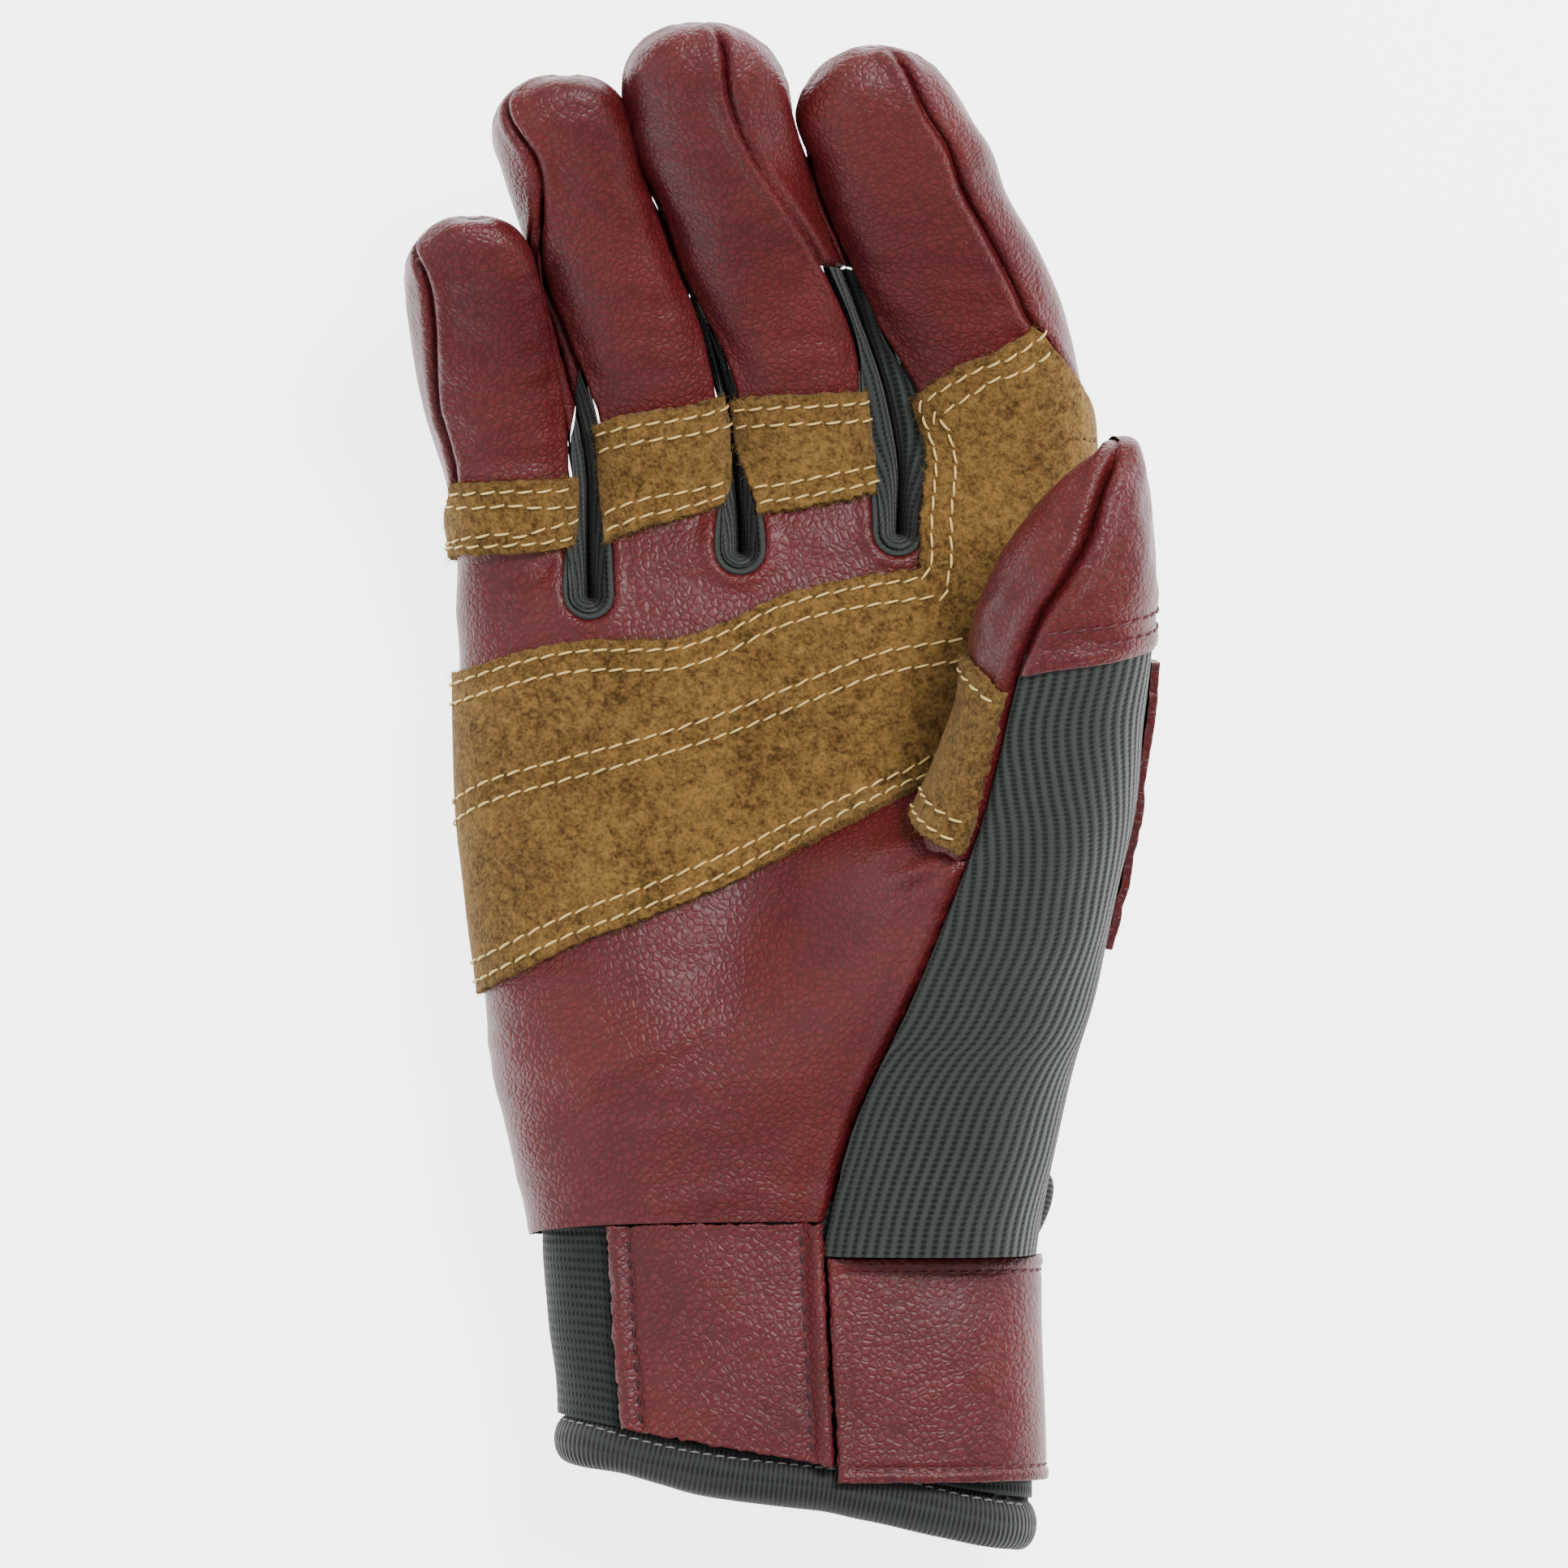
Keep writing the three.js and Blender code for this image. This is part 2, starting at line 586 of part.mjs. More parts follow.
// The largest connected part of a solid, which leaves out the crumbs of a cut.
function largestPart({ points, triangles }) {
  const parent = points.map((_, k) => k);
  const root = (k) => {
    while (parent[k] !== k) k = parent[k] = parent[parent[k]];
    return k;
  };
  for (const [a, b, c] of triangles) {
    parent[root(a)] = root(b);
    parent[root(b)] = root(c);
  }
  const sizes = new Map();
  for (const [a, b, c] of triangles) {
    const area = points[b].clone().sub(points[a]).cross(points[c].clone().sub(points[a])).length();
    sizes.set(root(a), (sizes.get(root(a)) ?? 0) + area);
  }
  const best = [...sizes].sort((one, two) => two[1] - one[1])[0][0];
  return weld({ points, triangles: triangles.filter(([a]) => root(a) === best) });
}

// A solid with another cut away from it.
function cut(solid, tool) {
  const mesh = toManifold(solid).subtract(tool).getMesh();
  const points = Array.from({ length: mesh.vertProperties.length / mesh.numProp }, (_, k) => {
    return new THREE.Vector3().fromArray(mesh.vertProperties, k * mesh.numProp);
  });
  const triangles = Array.from({ length: mesh.triVerts.length / 3 }, (_, k) => {
    return [...mesh.triVerts.slice(3 * k, 3 * k + 3)];
  });
  return largestPart(weld({ points, triangles }));
}

const glove = new THREE.Group();

function addPiece(name, { points, triangles }, finish) {
  const geometry = new THREE.BufferGeometry();
  geometry.setAttribute('position', new THREE.Float32BufferAttribute(points.flatMap((p) => [p.x, p.y, p.z]), 3));
  geometry.setIndex(triangles.flat());
  const mesh = new THREE.Mesh(geometry, new THREE.MeshStandardMaterial(finish));
  mesh.name = name;
  glove.add(mesh);
}

// Columns of the front and the back, with the round of each crotch in finer steps.
function combColumns(perFinger) {
  const columns = [];
  for (let i = 0; i < 4; i++) {
    columns.push(...steps(i, i + fingerShare, perFinger));
    if (i < 3) {
      const turns = [0.25, 0.5, 0.75].map((t) => (1 - Math.cos(Math.PI * t)) / 2);
      columns.push(...turns.map((t) => i + fingerShare + (1 - fingerShare) * t));
    }
  }
  return columns;
}

const palmSteps = steps(0, 1, 8);
const fingerSteps = [0.06, 0.12, 0.18, 0.24, 0.30, 0.42, 0.54, 0.66, 0.76, 0.85, 0.91, 0.955, 0.985, 1];
const combRows = [...palmSteps, ...fingerSteps.map((s) => 1 + s)];
const inCrotch = (column) => column - Math.floor(column) > fingerShare - 1e-6 && column < 3.5;
const capStart = 0.66;
const forchetteTops = [0.42, 0.54, 0.54];
const wallShares = steps(0, 1, 4);

// The panels of the skin, which share their seam lines.
const panels = [];

panels.push({
  name: 'palm_front',
  finish: leather,
  wall: leatherWall,
  piece: sheet(combColumns(5), combRows, (column, row) => skin('front', column, row),
    (column, row) => row < 1 || !inCrotch(column)),
});

panels.push({
  name: 'hand_back',
  finish: ribbedFabric,
  wall: fabricWall,
  piece: sheet(combColumns(3).reverse(), combRows.filter((row) => row <= 1 + capStart),
    (column, row) => skin('back', column, row),
    (column, row) => row < 1 || !inCrotch(column - 1e-3)),
});

const capRows = fingerSteps.filter((s) => s >= capStart);
fingers.forEach((finger, i) => {
  panels.push({
    name: `tip_cap_${finger.name}`,
    finish: leather,
    wall: leatherWall,
    piece: sheet(steps(i + fingerShare, i, 3), capRows, (column, s) => skin('back', column, 1 + s)),
  });
});

// The fabric strips between the fingers run down one finger, round the crotch and up the next.
const forchetteNames = ['forchette_little_ring', 'forchette_ring_middle', 'forchette_middle_index'];
forchetteNames.forEach((name, i) => {
  const climb = [0, ...fingerSteps.filter((s) => s <= forchetteTops[i])];
  const turns = steps(0, 1, 4).slice(1, -1).map((t) => (1 - Math.cos(Math.PI * t)) / 2);
  const route = [
    ...climb.toReversed().map((s) => (share) => wall(i, 'radial', s, share)),
    ...turns.map((t) => (share) => {
      const column = i + fingerShare + (1 - fingerShare) * t;
      return skin('front', column, 1).lerp(skin('back', column, 1), share);
    }),
    ...climb.map((s) => (share) => wall(i + 1, 'ulnar', s, 1 - share).clone()),
  ];
  const at = (place, share) => (place < climb.length + turns.length
    ? route[place](share)
    : wall(i + 1, 'ulnar', climb[place - climb.length - turns.length], share));
  panels.push({
    name,
    finish: ribbedFabric,
    wall: fabricWall,
    piece: sheet(route.map((_, k) => k), wallShares, at),
  });
});

// Leather strips on the sides of the fingers above the fabric.
fingers.forEach((finger, i) => {
  const sides = [
    { way: 'ulnar', from: i === 0 ? outerSeamParts : forchetteTops[i - 1] },
    { way: 'radial', from: i === 3 ? outerSeamParts : forchetteTops[i] },
  ];
  for (const { way, from } of sides) {
    const columns = way === 'radial' ? wallShares : wallShares.toReversed();
    panels.push({
      name: `side_${finger.name}_${way}`,
      finish: leather,
      wall: leatherWall,
      piece: sheet(columns, fingerSteps.filter((s) => s >= from - 1e-9),
        (share, s) => wall(i, way, s, share)),
    });
  }
});

const skinNormals = new Map();
for (const panel of panels) addNormals(skinNormals, panel.piece);

// The thumb's panels form a skin of their own, which is cut where it enters the hand.
const thumbSteps = [0, 0.08, 0.16, 0.235, 0.31, 0.385, 0.46, 0.54, 0.61, 0.68, thumbHem,
  0.80, 0.85, 0.895, 0.93, 0.96, 0.985, 1];
const thumbSeam = (s) => read(thumbRows, 'seam', s);
const frontShares = steps(0, 1, 6);
const outerShares = steps(0, 1, 8);
const thumbPanels = [
  {
    name: 'thumb_front',
    finish: leather,
    wall: leatherWall,
    piece: sheet(frontShares, thumbSteps, (t, s) => thumb(lerp(thumbBackSeam, thumbSeam(s), t), s)),
  },
  {
    name: 'thumb_cap',
    finish: leather,
    wall: leatherWall,
    piece: sheet(outerShares, thumbSteps.filter((s) => s >= thumbHem),
      (t, s) => thumb(lerp(thumbSeam(s), thumbBackSeam - 360, t), s)),
  },
  {
    name: 'thumb_gusset',
    finish: ribbedFabric,
    wall: fabricWall,
    piece: sheet(outerShares, thumbSteps.filter((s) => s <= thumbHem),
      (t, s) => thumb(lerp(thumbSeam(s), thumbBackSeam - 360, t), s)),
  },
];
const thumbNormals = new Map();
for (const panel of thumbPanels) addNormals(thumbNormals, panel.piece);

// Solid forms of the hand and the thumb, a little larger than the real ones, to cut with.
const ringAngles = steps(0, 345, 23);
const handLevels = steps(wristLevel - 0.15 * palmLength, alongPalm(1.2), 28);
const handForm = (grow) => toManifold(ringSolid(
  handLevels.map((y) => ringAngles.toReversed().map((angle) => hand(angle, y, grow))),
));
const suedeInner = seamGap + 0.25;
const suedeOuter = suedeInner + suedeWall;
const handSolid = handForm(seamGap);
const handOverSuede = handForm(suedeOuter + seamGap);
const thumbSolid = toManifold(ringSolid([-0.08, ...thumbSteps.slice(0, -1), 0.998]
  .map((s) => ringAngles.toReversed().map((angle) => thumb(angle, s, seamGap)))));

// The notch that the slit cuts into the edge of the gusset.
const slitMiddle = (slitFrom + slitTo) / 2;
const slitTop = wristLevel + slitRise;
const notchAngles = steps(slitMiddle + slitNotchTurn / 2, slitMiddle - slitNotchTurn / 2, 4);
const notchTop = slitTop + slitBindingWidth / 2 + seamGap;
const notchSheet = sheet(notchAngles, steps(wristLevel - 2 * strapDrop, notchTop, 4), (angle, y) => hand(angle, y));
const notch = toManifold(overlay(notchSheet, 2 * slitBindingDepth, -2 * slitBindingDepth));

const meetsThumb = ['palm_front', 'hand_back'];
for (const { name, finish, wall: depth, piece } of panels) {
  const solid = thicken(piece, skinNormals, 0, -depth);
  addPiece(name, meetsThumb.includes(name) ? cut(solid, thumbSolid) : solid, finish);
}
for (const { name, finish, wall: depth, piece } of thumbPanels) {
  const solid = cut(thicken(piece, thumbNormals, 0, -depth), handSolid);
  addPiece(name, name === 'thumb_gusset' ? cut(solid, notch) : solid, finish);
}

// The suede of the palm, with the part that climbs the index finger.
const palmRow = (column, share) => {
  const bottom = wristLine(handAngle('front', column));
  return (alongPalm(share) - bottom) / (knuckleLine(column) - bottom);
};
const palmSuede = sheet(combColumns(5), [...steps(0, 1, 4), ...steps(1, 2, 7).slice(1)],
  (column, row) => {
    const bottom = palmRow(column, read(palmSuedeRows, 'bottom', column));
    const middle = palmRow(column, read(palmSuedeRows, 'top', column));
    if (row <= 1) return skin('front', column, lerp(bottom, Math.min(middle, 1), row));
    const share = clamp((column - indexSuedeFrom) / fingerShare, 0, 1);
    const top = 1 + lerp(indexSuedeTop[0], indexSuedeTop[1], share);
    return skin('front', Math.max(column, indexSuedeFrom), lerp(Math.min(middle, 1), top, row - 1));
  },
  (column, row) => row < 1 || column >= indexSuedeFrom - 1e-6);
addPiece('palm_suede', cut(overlay(palmSuede, suedeOuter, suedeInner), thumbSolid), suede);

for (const { finger, name, bottom, top } of bands) {
  const band = sheet(steps(0, 1, 5), steps(0, 1, 6), (share, row) => {
    const s = lerp(lerp(...bottom, share), lerp(...top, share), row);
    return skin('front', finger + fingerShare * share, 1 + s);
  });
  addPiece(name, overlay(band, suedeOuter, suedeInner), suede);
}

// The suede patch on the thumb's inner side, and the leather patch on its back.
const thumbSuede = sheet(steps(0, 1, 4), steps(0, 1, 6), (t, row) => {
  const s = lerp(lerp(...thumbSuedeBottom, t), lerp(...thumbSuedeTop, t), row);
  return thumb(lerp(thumbSuedeEdge, thumbSeam(s) + 2, t), s);
});
addPiece('thumb_suede', cut(overlay(thumbSuede, suedeOuter, suedeInner), handSolid), suede);
const backPatch = sheet(steps(0, 1, 5), steps(...thumbBackPatch, 7),
  (t, s) => thumb(lerp(thumbBackPatchFrom, thumbBackPatchTo, t), s));
addPiece('back_thumb_patch', cut(overlay(backPatch, suedeOuter, suedeInner), handOverSuede), leather);

// The cuff goes up inside the palm's edge. It is open in a slit below the thumb.
const cuffInset = leatherWall + seamGap + 0.4;
const onCuff = (angle, y, out) => hand(angle, y, out - cuffInset);
const cuffEnd = (angle) => {
  const towardsThumb = (1 + signedPower(Math.cos(degToRad(angle)))) / 2;
  return wristLevel - cuffLength + cuffSlant * (1 - towardsThumb);
};
const cuffHem = (angle) => cuffEnd(angle) + bindingWidth / 2 + seamGap;
const onWrist = (angles, rows, from, to, out) => sheet(angles, rows, (angle, row) => {
  return onCuff(angle, lerp(from(angle), to(angle), row), out);
});

const knit = onWrist(steps(slitTo + 360, slitFrom, 32), steps(0, 1, 3), cuffHem, () => wristLevel + cuffTuck, 0);
addPiece('cuff_knit', overlay(knit, 0, -fabricWall), ribbedFabric);

const panelTop = (angle) => wristLine(angle) - seamGap;
const panelAngles = panelEdges.map((across) => angleAcross(across * palmWidth, wristLevel));
const panelOut = seamGap + 0.1;
const panel = onWrist(steps(...panelAngles, 7), steps(0, 1, 4), cuffHem, panelTop, panelOut);
addPiece('cuff_panel', overlay(panel, leatherWall, 0), leather);

// The strap narrows towards its end on the back, where it closes on the loop patch.
const strapNarrows = (angle) => strapTaper * smoothstep(-angle, 20, -strapTurn);
const strapTop = () => wristLevel - strapDrop;
const strapEnd = (angle) => wristLevel - strapDrop - strapWidth + strapNarrows(angle);
const strapAngles = steps(panelAngles[1] - 0.5, strapTurn, 22);
const strap = onWrist(strapAngles, steps(0, 1, 3), strapEnd, strapTop, panelOut);
addPiece('strap', overlay(strap, strapWall, 0), leather);

const loopAngles = steps(strapTurn - 1, strapTurn - loopPatchTurn, 4);
const loopPatch = onWrist(loopAngles, steps(0, 1, 2), strapEnd, strapTop, panelOut);
addPiece('strap_loop_patch', overlay(loopPatch, leatherWall, 0), bindingFabric);

// A tube of fabric along a line of points, with an oval section across its width and depth.
function tube(points, sides, width, depth, outward) {
  const rings = points.map((point, k) => {
    const along = points[Math.min(k + 1, points.length - 1)].clone()
      .sub(points[Math.max(k - 1, 0)]).normalize();
    const out = outward(point);
    out.addScaledVector(along, -out.dot(along)).normalize();
    const across = along.clone().cross(out);
    return steps(0, 2 * Math.PI * (1 - 1 / sides), sides - 1).map((turn) => point.clone()
      .addScaledVector(out, depth / 2 * Math.cos(turn))
      .addScaledVector(across, width / 2 * Math.sin(turn)));
  });
  return ringSolid(rings);
}

const fromMiddle = (point) => {
  const s = section(point.y, 0);
  return new THREE.Vector3(point.x - s.x, 0, point.z - s.z);
};
const bindingOut = 0.7 - bindingDepth / 2;
const bindingLine = steps(slitFrom + 2, slitTo + 358, 28)
  .map((angle) => onCuff(angle, cuffEnd(angle), bindingOut));
const binding = tube(bindingLine, 8, bindingWidth, bindingDepth, fromMiddle);
addPiece('cuff_binding', binding, bindingFabric);

// The slit's binding climbs one edge from the hem, turns over in the gusset above the strap and
// comes down the other edge. Its rows are shares of its height, with side the edge it lies on and
// out how far it has come out of the cuff to the gusset.
const downAgain = slitRows.slice(0, -1).reverse().map((row) => ({ ...row, side: -row.side }));
const slitTurns = [...slitRows, ...downAgain].map(({ share, side, out }) => {
  const lifted = out * (cuffInset + slitBindingDepth / 2 + slitStandsProud) - slitBindingDepth / 2;
  return onCuff(slitMiddle + side * slitSpread / 2, lerp(cuffEnd(0), slitTop, share), lifted);
});
const slitBinding = tube(slitTurns, 8, slitBindingWidth, slitBindingDepth, fromMiddle);
addPiece('slit_binding', slitBinding, bindingFabric);

// The origin is at the middle of the glove's footprint, on the surface that it lies on.
const box = new THREE.Box3().setFromObject(glove);
glove.position.set(-(box.min.x + box.max.x) / 2, -(box.min.y + box.max.y) / 2, -box.min.z);

const group = new THREE.Group();
group.add(glove);
export default group;
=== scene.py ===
"""A right-hand climbing glove lying on its back, palm up. X runs towards the thumb, Y towards the
fingertips and Z up. Shapes are worked out in millimetres and turned to metres when a mesh is made."""

import math

import bpy
import numpy as np
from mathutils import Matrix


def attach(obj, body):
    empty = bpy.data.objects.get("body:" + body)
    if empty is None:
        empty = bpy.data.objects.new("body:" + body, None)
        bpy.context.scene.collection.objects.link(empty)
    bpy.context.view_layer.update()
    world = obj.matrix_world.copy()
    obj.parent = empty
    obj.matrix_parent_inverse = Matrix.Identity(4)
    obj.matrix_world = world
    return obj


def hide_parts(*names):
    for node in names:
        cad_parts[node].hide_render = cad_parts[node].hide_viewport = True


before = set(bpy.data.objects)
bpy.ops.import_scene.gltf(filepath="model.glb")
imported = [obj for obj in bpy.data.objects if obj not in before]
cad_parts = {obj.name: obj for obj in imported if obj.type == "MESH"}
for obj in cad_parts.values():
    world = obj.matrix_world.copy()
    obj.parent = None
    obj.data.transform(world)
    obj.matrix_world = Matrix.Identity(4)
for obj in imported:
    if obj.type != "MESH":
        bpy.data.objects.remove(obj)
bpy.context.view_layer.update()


# The camera stands two metres above the palm and looks straight down through a long lens, as the
# photo was taken. The glove's own middle lies beside the frame's by a small shift.
MM = 0.001
GLOVE_SHIFT = np.array([-0.0225, 1.0237, 0.0])
PHOTO_MIDDLE = np.array([0.125, 0.375, 0.0])
CAMERA_HEIGHT, CAMERA_LENS, SENSOR_WIDTH = 2.0, 298.1, 36
camera_data = bpy.data.cameras.new("camera")
camera_data.sensor_width = SENSOR_WIDTH
camera_data.lens = CAMERA_LENS
camera = bpy.data.objects.new("camera", camera_data)
camera.location = (PHOTO_MIDDLE + GLOVE_SHIFT) * MM + [0, 0, CAMERA_HEIGHT]
bpy.context.scene.collection.objects.link(camera)
bpy.context.scene.camera = camera


# The palm's leather with the fronts of the four fingers: thin dark red goatskin, finely pebbled,
# drawn over the root of the thumb. Where it meets a seam it swells a little and dives into it.
PALM_WIDTH, PALM_LENGTH, PALM_DEPTH = 99.0, 98.0, 33.0
WRIST_LEVEL, WRIST_ARCH = -68.5, 2.5
FINGER_DEPTH, SQUARENESS, FINGER_SHARE = 22.0, 0.77, 0.85
ULNAR_SEAM, RADIAL_SEAM = 205.0, -25.0
LAST_COLUMN = 3 + FINGER_SHARE
CROTCH_RADIUS = 3.3
CUFF_LENGTH = 44.0
SEAM_GAP = 0.3
PALM = {
    "at": [0.00, 0.15, 0.28, 0.36, 0.53, 0.66, 0.79, 0.90, 1.00, 1.20],
    "left": [-0.391, -0.426, -0.451, -0.458, -0.479, -0.493, -0.498, -0.500, -0.508, -0.514],
    "right": [0.392, 0.402, 0.408, 0.415, 0.435, 0.450, 0.458, 0.463, 0.466, 0.468],
    "back": [0.03, 0.00, -0.03, -0.04, -0.05, -0.05, -0.04, -0.02, 0.00, 0.00],
    "front": [1.02, 1.04, 1.05, 1.05, 1.03, 1.00, 0.97, 0.94, 0.92, 0.92],
}
CUFF = {
    "at": [0.00, 0.35, 0.70, 1.00],
    "left": [-0.391, -0.380, -0.366, -0.362],
    "right": [0.392, 0.395, 0.400, 0.402],
    "back": [0.03, 0.04, 0.04, 0.05],
    "front": [1.02, 1.03, 1.03, 1.02],
}
# Soft forms of the palm: across, along, reach and height, in shares of its width, length and depth.
PALM_FORMS = [
    (-0.24, 0.28, 0.24, 0.05),
    (0.02, 0.55, 0.22, -0.07),
    (-0.20, 0.88, 0.14, 0.04),
    (0.05, 0.90, 0.14, 0.04),
]
CROTCH_ACROSS = np.array([-0.297, -0.066, 0.176])
CROTCH_ALONG = np.array([0.963, 1.032, 1.061])
KNUCKLE_ENDS = (0.944, 1.107)
# The fingers' sections turn from the palm's into their own over this share of their length, and the
# side panels of the outer fingers start at another. The back's seams have angles of their own.
KNUCKLE_BLEND, SIDE_START = 0.22, 0.18
BACK_ULNAR, BACK_RADIAL = -142.0, -35.0
FINGERS = [
    {
        "name": "little", "length": 58.5, "width": 22.5, "cap": (0.80, 2.5), "root": (-0.406, 0.9745, 0.44),
        "at": [0.00, 0.15, 0.32, 0.53, 0.74, 0.86, 0.94, 1.00],
        "aside": [0.000, -0.003, -0.013, -0.061, -0.104, -0.119, -0.117, -0.115],
        "rise": [0.000, 0.020, 0.060, 0.155, 0.290, 0.385, 0.450, 0.500],
        "wide": [0.86, 0.86, 0.92, 0.99, 0.94, 0.90, 0.88, 0.87],
        "deep": [1.18, 1.12, 1.04, 0.96, 0.88, 0.82, 0.80, 0.80],
        "ulnar": [205, 200, 145, 137, 124, 130, 168, 180],
        "radial": [38, 38, 36, 20, 8, 4, 0, 0],
    },
    {
        "name": "ring", "length": 74.0, "width": 22.3, "cap": (0.85, 2.5), "root": (-0.182, 1.0306, 0.4545),
        "at": [0.00, 0.10, 0.30, 0.51, 0.62, 0.72, 0.83, 0.91, 1.00],
        "aside": [0.000, 0.002, -0.008, -0.068, -0.115, -0.154, -0.193, -0.207, -0.200],
        "rise": [0.000, 0.015, 0.065, 0.165, 0.230, 0.295, 0.370, 0.425, 0.480],
        "wide": [0.98, 0.98, 0.99, 0.97, 0.93, 0.93, 0.94, 0.95, 0.94],
        "deep": [1.10, 1.08, 1.02, 0.95, 0.92, 0.90, 0.88, 0.86, 0.85],
        "ulnar": [142, 142, 144, 160, 161, 128, 112, 135, 180],
        "radial": [38, 38, 36, 18, 8, 4, 0, 0, 0],
    },
    {
        "name": "middle", "length": 77.2, "width": 24.6, "cap": (0.855, 2.2), "root": (0.042, 1.0765, 0.4545),
        "at": [0.00, 0.10, 0.29, 0.40, 0.54, 0.65, 0.74, 0.86, 1.00],
        "aside": [0.000, -0.005, -0.024, -0.050, -0.103, -0.133, -0.173, -0.202, -0.218],
        "rise": [0.000, 0.018, 0.080, 0.130, 0.215, 0.290, 0.350, 0.430, 0.505],
        "wide": [0.92, 0.92, 0.89, 0.90, 0.94, 0.96, 1.00, 1.01, 1.00],
        "deep": [1.10, 1.08, 1.02, 0.99, 0.96, 0.94, 0.93, 0.92, 0.90],
        "ulnar": [142, 142, 146, 158, 172, 176, 180, 180, 180],
        "radial": [38, 38, 34, 22, 34, 60, 72, 80, 72],
    },
    {
        "name": "index", "length": 71.0, "width": 28.0, "cap": (0.80, 2.0), "root": (0.345, 1.107, 0.4545),
        "at": [0.00, 0.14, 0.29, 0.42, 0.50, 0.60, 0.70, 0.78, 0.87, 1.00],
        "aside": [0.000, -0.005, -0.035, -0.078, -0.107, -0.152, -0.203, -0.227, -0.272, -0.285],
        "rise": [0.000, 0.020, 0.065, 0.125, 0.170, 0.235, 0.300, 0.355, 0.415, 0.490],
        "wide": [0.93, 0.95, 0.99, 1.06, 1.07, 1.05, 1.00, 0.98, 0.96, 0.95],
        "deep": [1.12, 1.10, 1.05, 1.02, 1.00, 0.98, 0.95, 0.92, 0.90, 0.88],
        "ulnar": [142, 142, 146, 160, 166, 172, 176, 180, 180, 180],
        "radial": [-25, -22, 25, 57, 62, 64, 64, 65, 66, 66],
    },
]
LENGTHS = np.array([finger["length"] for finger in FINGERS])
THUMB_LENGTH, THUMB_WIDTH, THUMB_DEPTH = 122.5, 36.5, 40.0
THUMB_START = WRIST_LEVEL - 3.0 + SEAM_GAP
THUMB_CAP = (0.80, 1.8)
THUMB_BACK_SEAM, THUMB_HEM = 240.0, 0.745
THUMB = {
    "at": [0.00, 0.05, 0.16, 0.31, 0.46, 0.54, 0.61, 0.69, 0.78, 0.83, 0.89, 0.94, 1.00],
    "across": [0.211, 0.222, 0.248, 0.288, 0.339, 0.369, 0.394, 0.417, 0.424, 0.436, 0.453, 0.474, 0.507],
    "lift": [0.490, 0.495, 0.525, 0.630, 0.800, 0.915, 1.010, 1.110, 1.215, 1.280, 1.350, 1.405, 1.470],
    "wide": [0.98, 0.98, 0.99, 1.01, 0.96, 0.90, 0.82, 0.76, 0.75, 0.70, 0.65, 0.62, 0.60],
    "deep": [0.95, 0.97, 1.00, 1.02, 0.98, 0.90, 0.83, 0.77, 0.72, 0.69, 0.66, 0.64, 0.62],
    "seam": [145, 144, 138, 117, 109, 109, 113, 116, 102, 93, 88, 88, 88],
}
# Creases of the palm's leather: ends, width and height in millimetres.
CREASES = [
    (-34.0, -45.0, -9.0, -35.0, 2.2, 0.55),
    (-36.0, -52.0, -14.0, -47.0, 2.6, -0.35),
    (14.0, -11.0, 24.0, -5.5, 0.9, 0.9),
    (15.5, -15.0, 24.5, -9.5, 0.9, 0.8),
    (14.5, -19.5, 23.0, -14.0, 1.0, 0.7),
    (15.0, -13.2, 24.0, -7.6, 0.7, -0.8),
    (15.0, -17.4, 23.6, -11.9, 0.7, -0.8),
    (2.0, -60.0, 9.0, -42.0, 2.4, 0.4),
    (-22.0, -63.0, -6.0, -61.0, 2.0, 0.35),
]


def ease(value, low, high):
    """A share from 0 at low to 1 at high, with flat ends."""
    t = np.clip((value - low) / (high - low), 0, 1)
    return t * t * (3 - 2 * t)


def mix(a, b, share):
    """The value that lies a share of the way from a to b."""
    return a + (b - a) * share


def read(table, column, at):
    """A column of a table at a place: cubic pieces with centred slopes, straight beyond the ends."""
    x = np.array(table["at"], float)
    y = np.array(table[column], float)
    slope = np.gradient(y)
    slope[1:-1] = (y[2:] - y[:-2]) / (x[2:] - x[:-2])
    slope[0] = (y[1] - y[0]) / (x[1] - x[0])
    slope[-1] = (y[-1] - y[-2]) / (x[-1] - x[-2])
    at = np.asarray(at, float)
    k = np.clip(np.searchsorted(x, at, side="right") - 1, 0, len(x) - 2)
    span = x[k + 1] - x[k]
    t = np.clip((at - x[k]) / span, 0, 1)
    curve = mix(y[k], y[k + 1], t * t * (3 - 2 * t))
    curve = curve + t * (1 - t) * span * ((1 - t) * slope[k] - t * slope[k + 1])
    return curve + slope[0] * np.minimum(at - x[0], 0) + slope[-1] * np.maximum(at - x[-1], 0)


def bent_power(value, power=SQUARENESS):
    """The value's size raised to a power, with its sign kept."""
    return np.sign(value) * np.abs(value) ** power


def around(x, y, z, half_width, half_depth, angle):
    """Points of a rounded-square section: bent cosine across and bent sine up, never under the table."""
    turn = np.radians(angle)
    across = x + half_width * bent_power(np.cos(turn))
    up = np.maximum(z + half_depth * bent_power(np.sin(turn)), 0)
    return np.stack(np.broadcast_arrays(across, y, up), axis=-1).astype(float)


def section(y, grow=0.0):
    """Middle and half sizes of the hand's section at a level, read from the palm's or cuff's table."""
    above = y >= WRIST_LEVEL
    palm_at = (y - WRIST_LEVEL) / PALM_LENGTH
    cuff_at = (WRIST_LEVEL - y) / CUFF_LENGTH
    edge = {}
    for name in ("left", "right", "back", "front"):
        size = PALM_WIDTH if name in ("left", "right") else PALM_DEPTH
        edge[name] = np.where(above, read(PALM, name, palm_at), read(CUFF, name, cuff_at)) * size
    left, right = edge["left"] - grow, edge["right"] + grow
    back, front = edge["back"] - grow, edge["front"] + grow
    return (left + right) / 2, (back + front) / 2, (right - left) / 2, (front - back) / 2


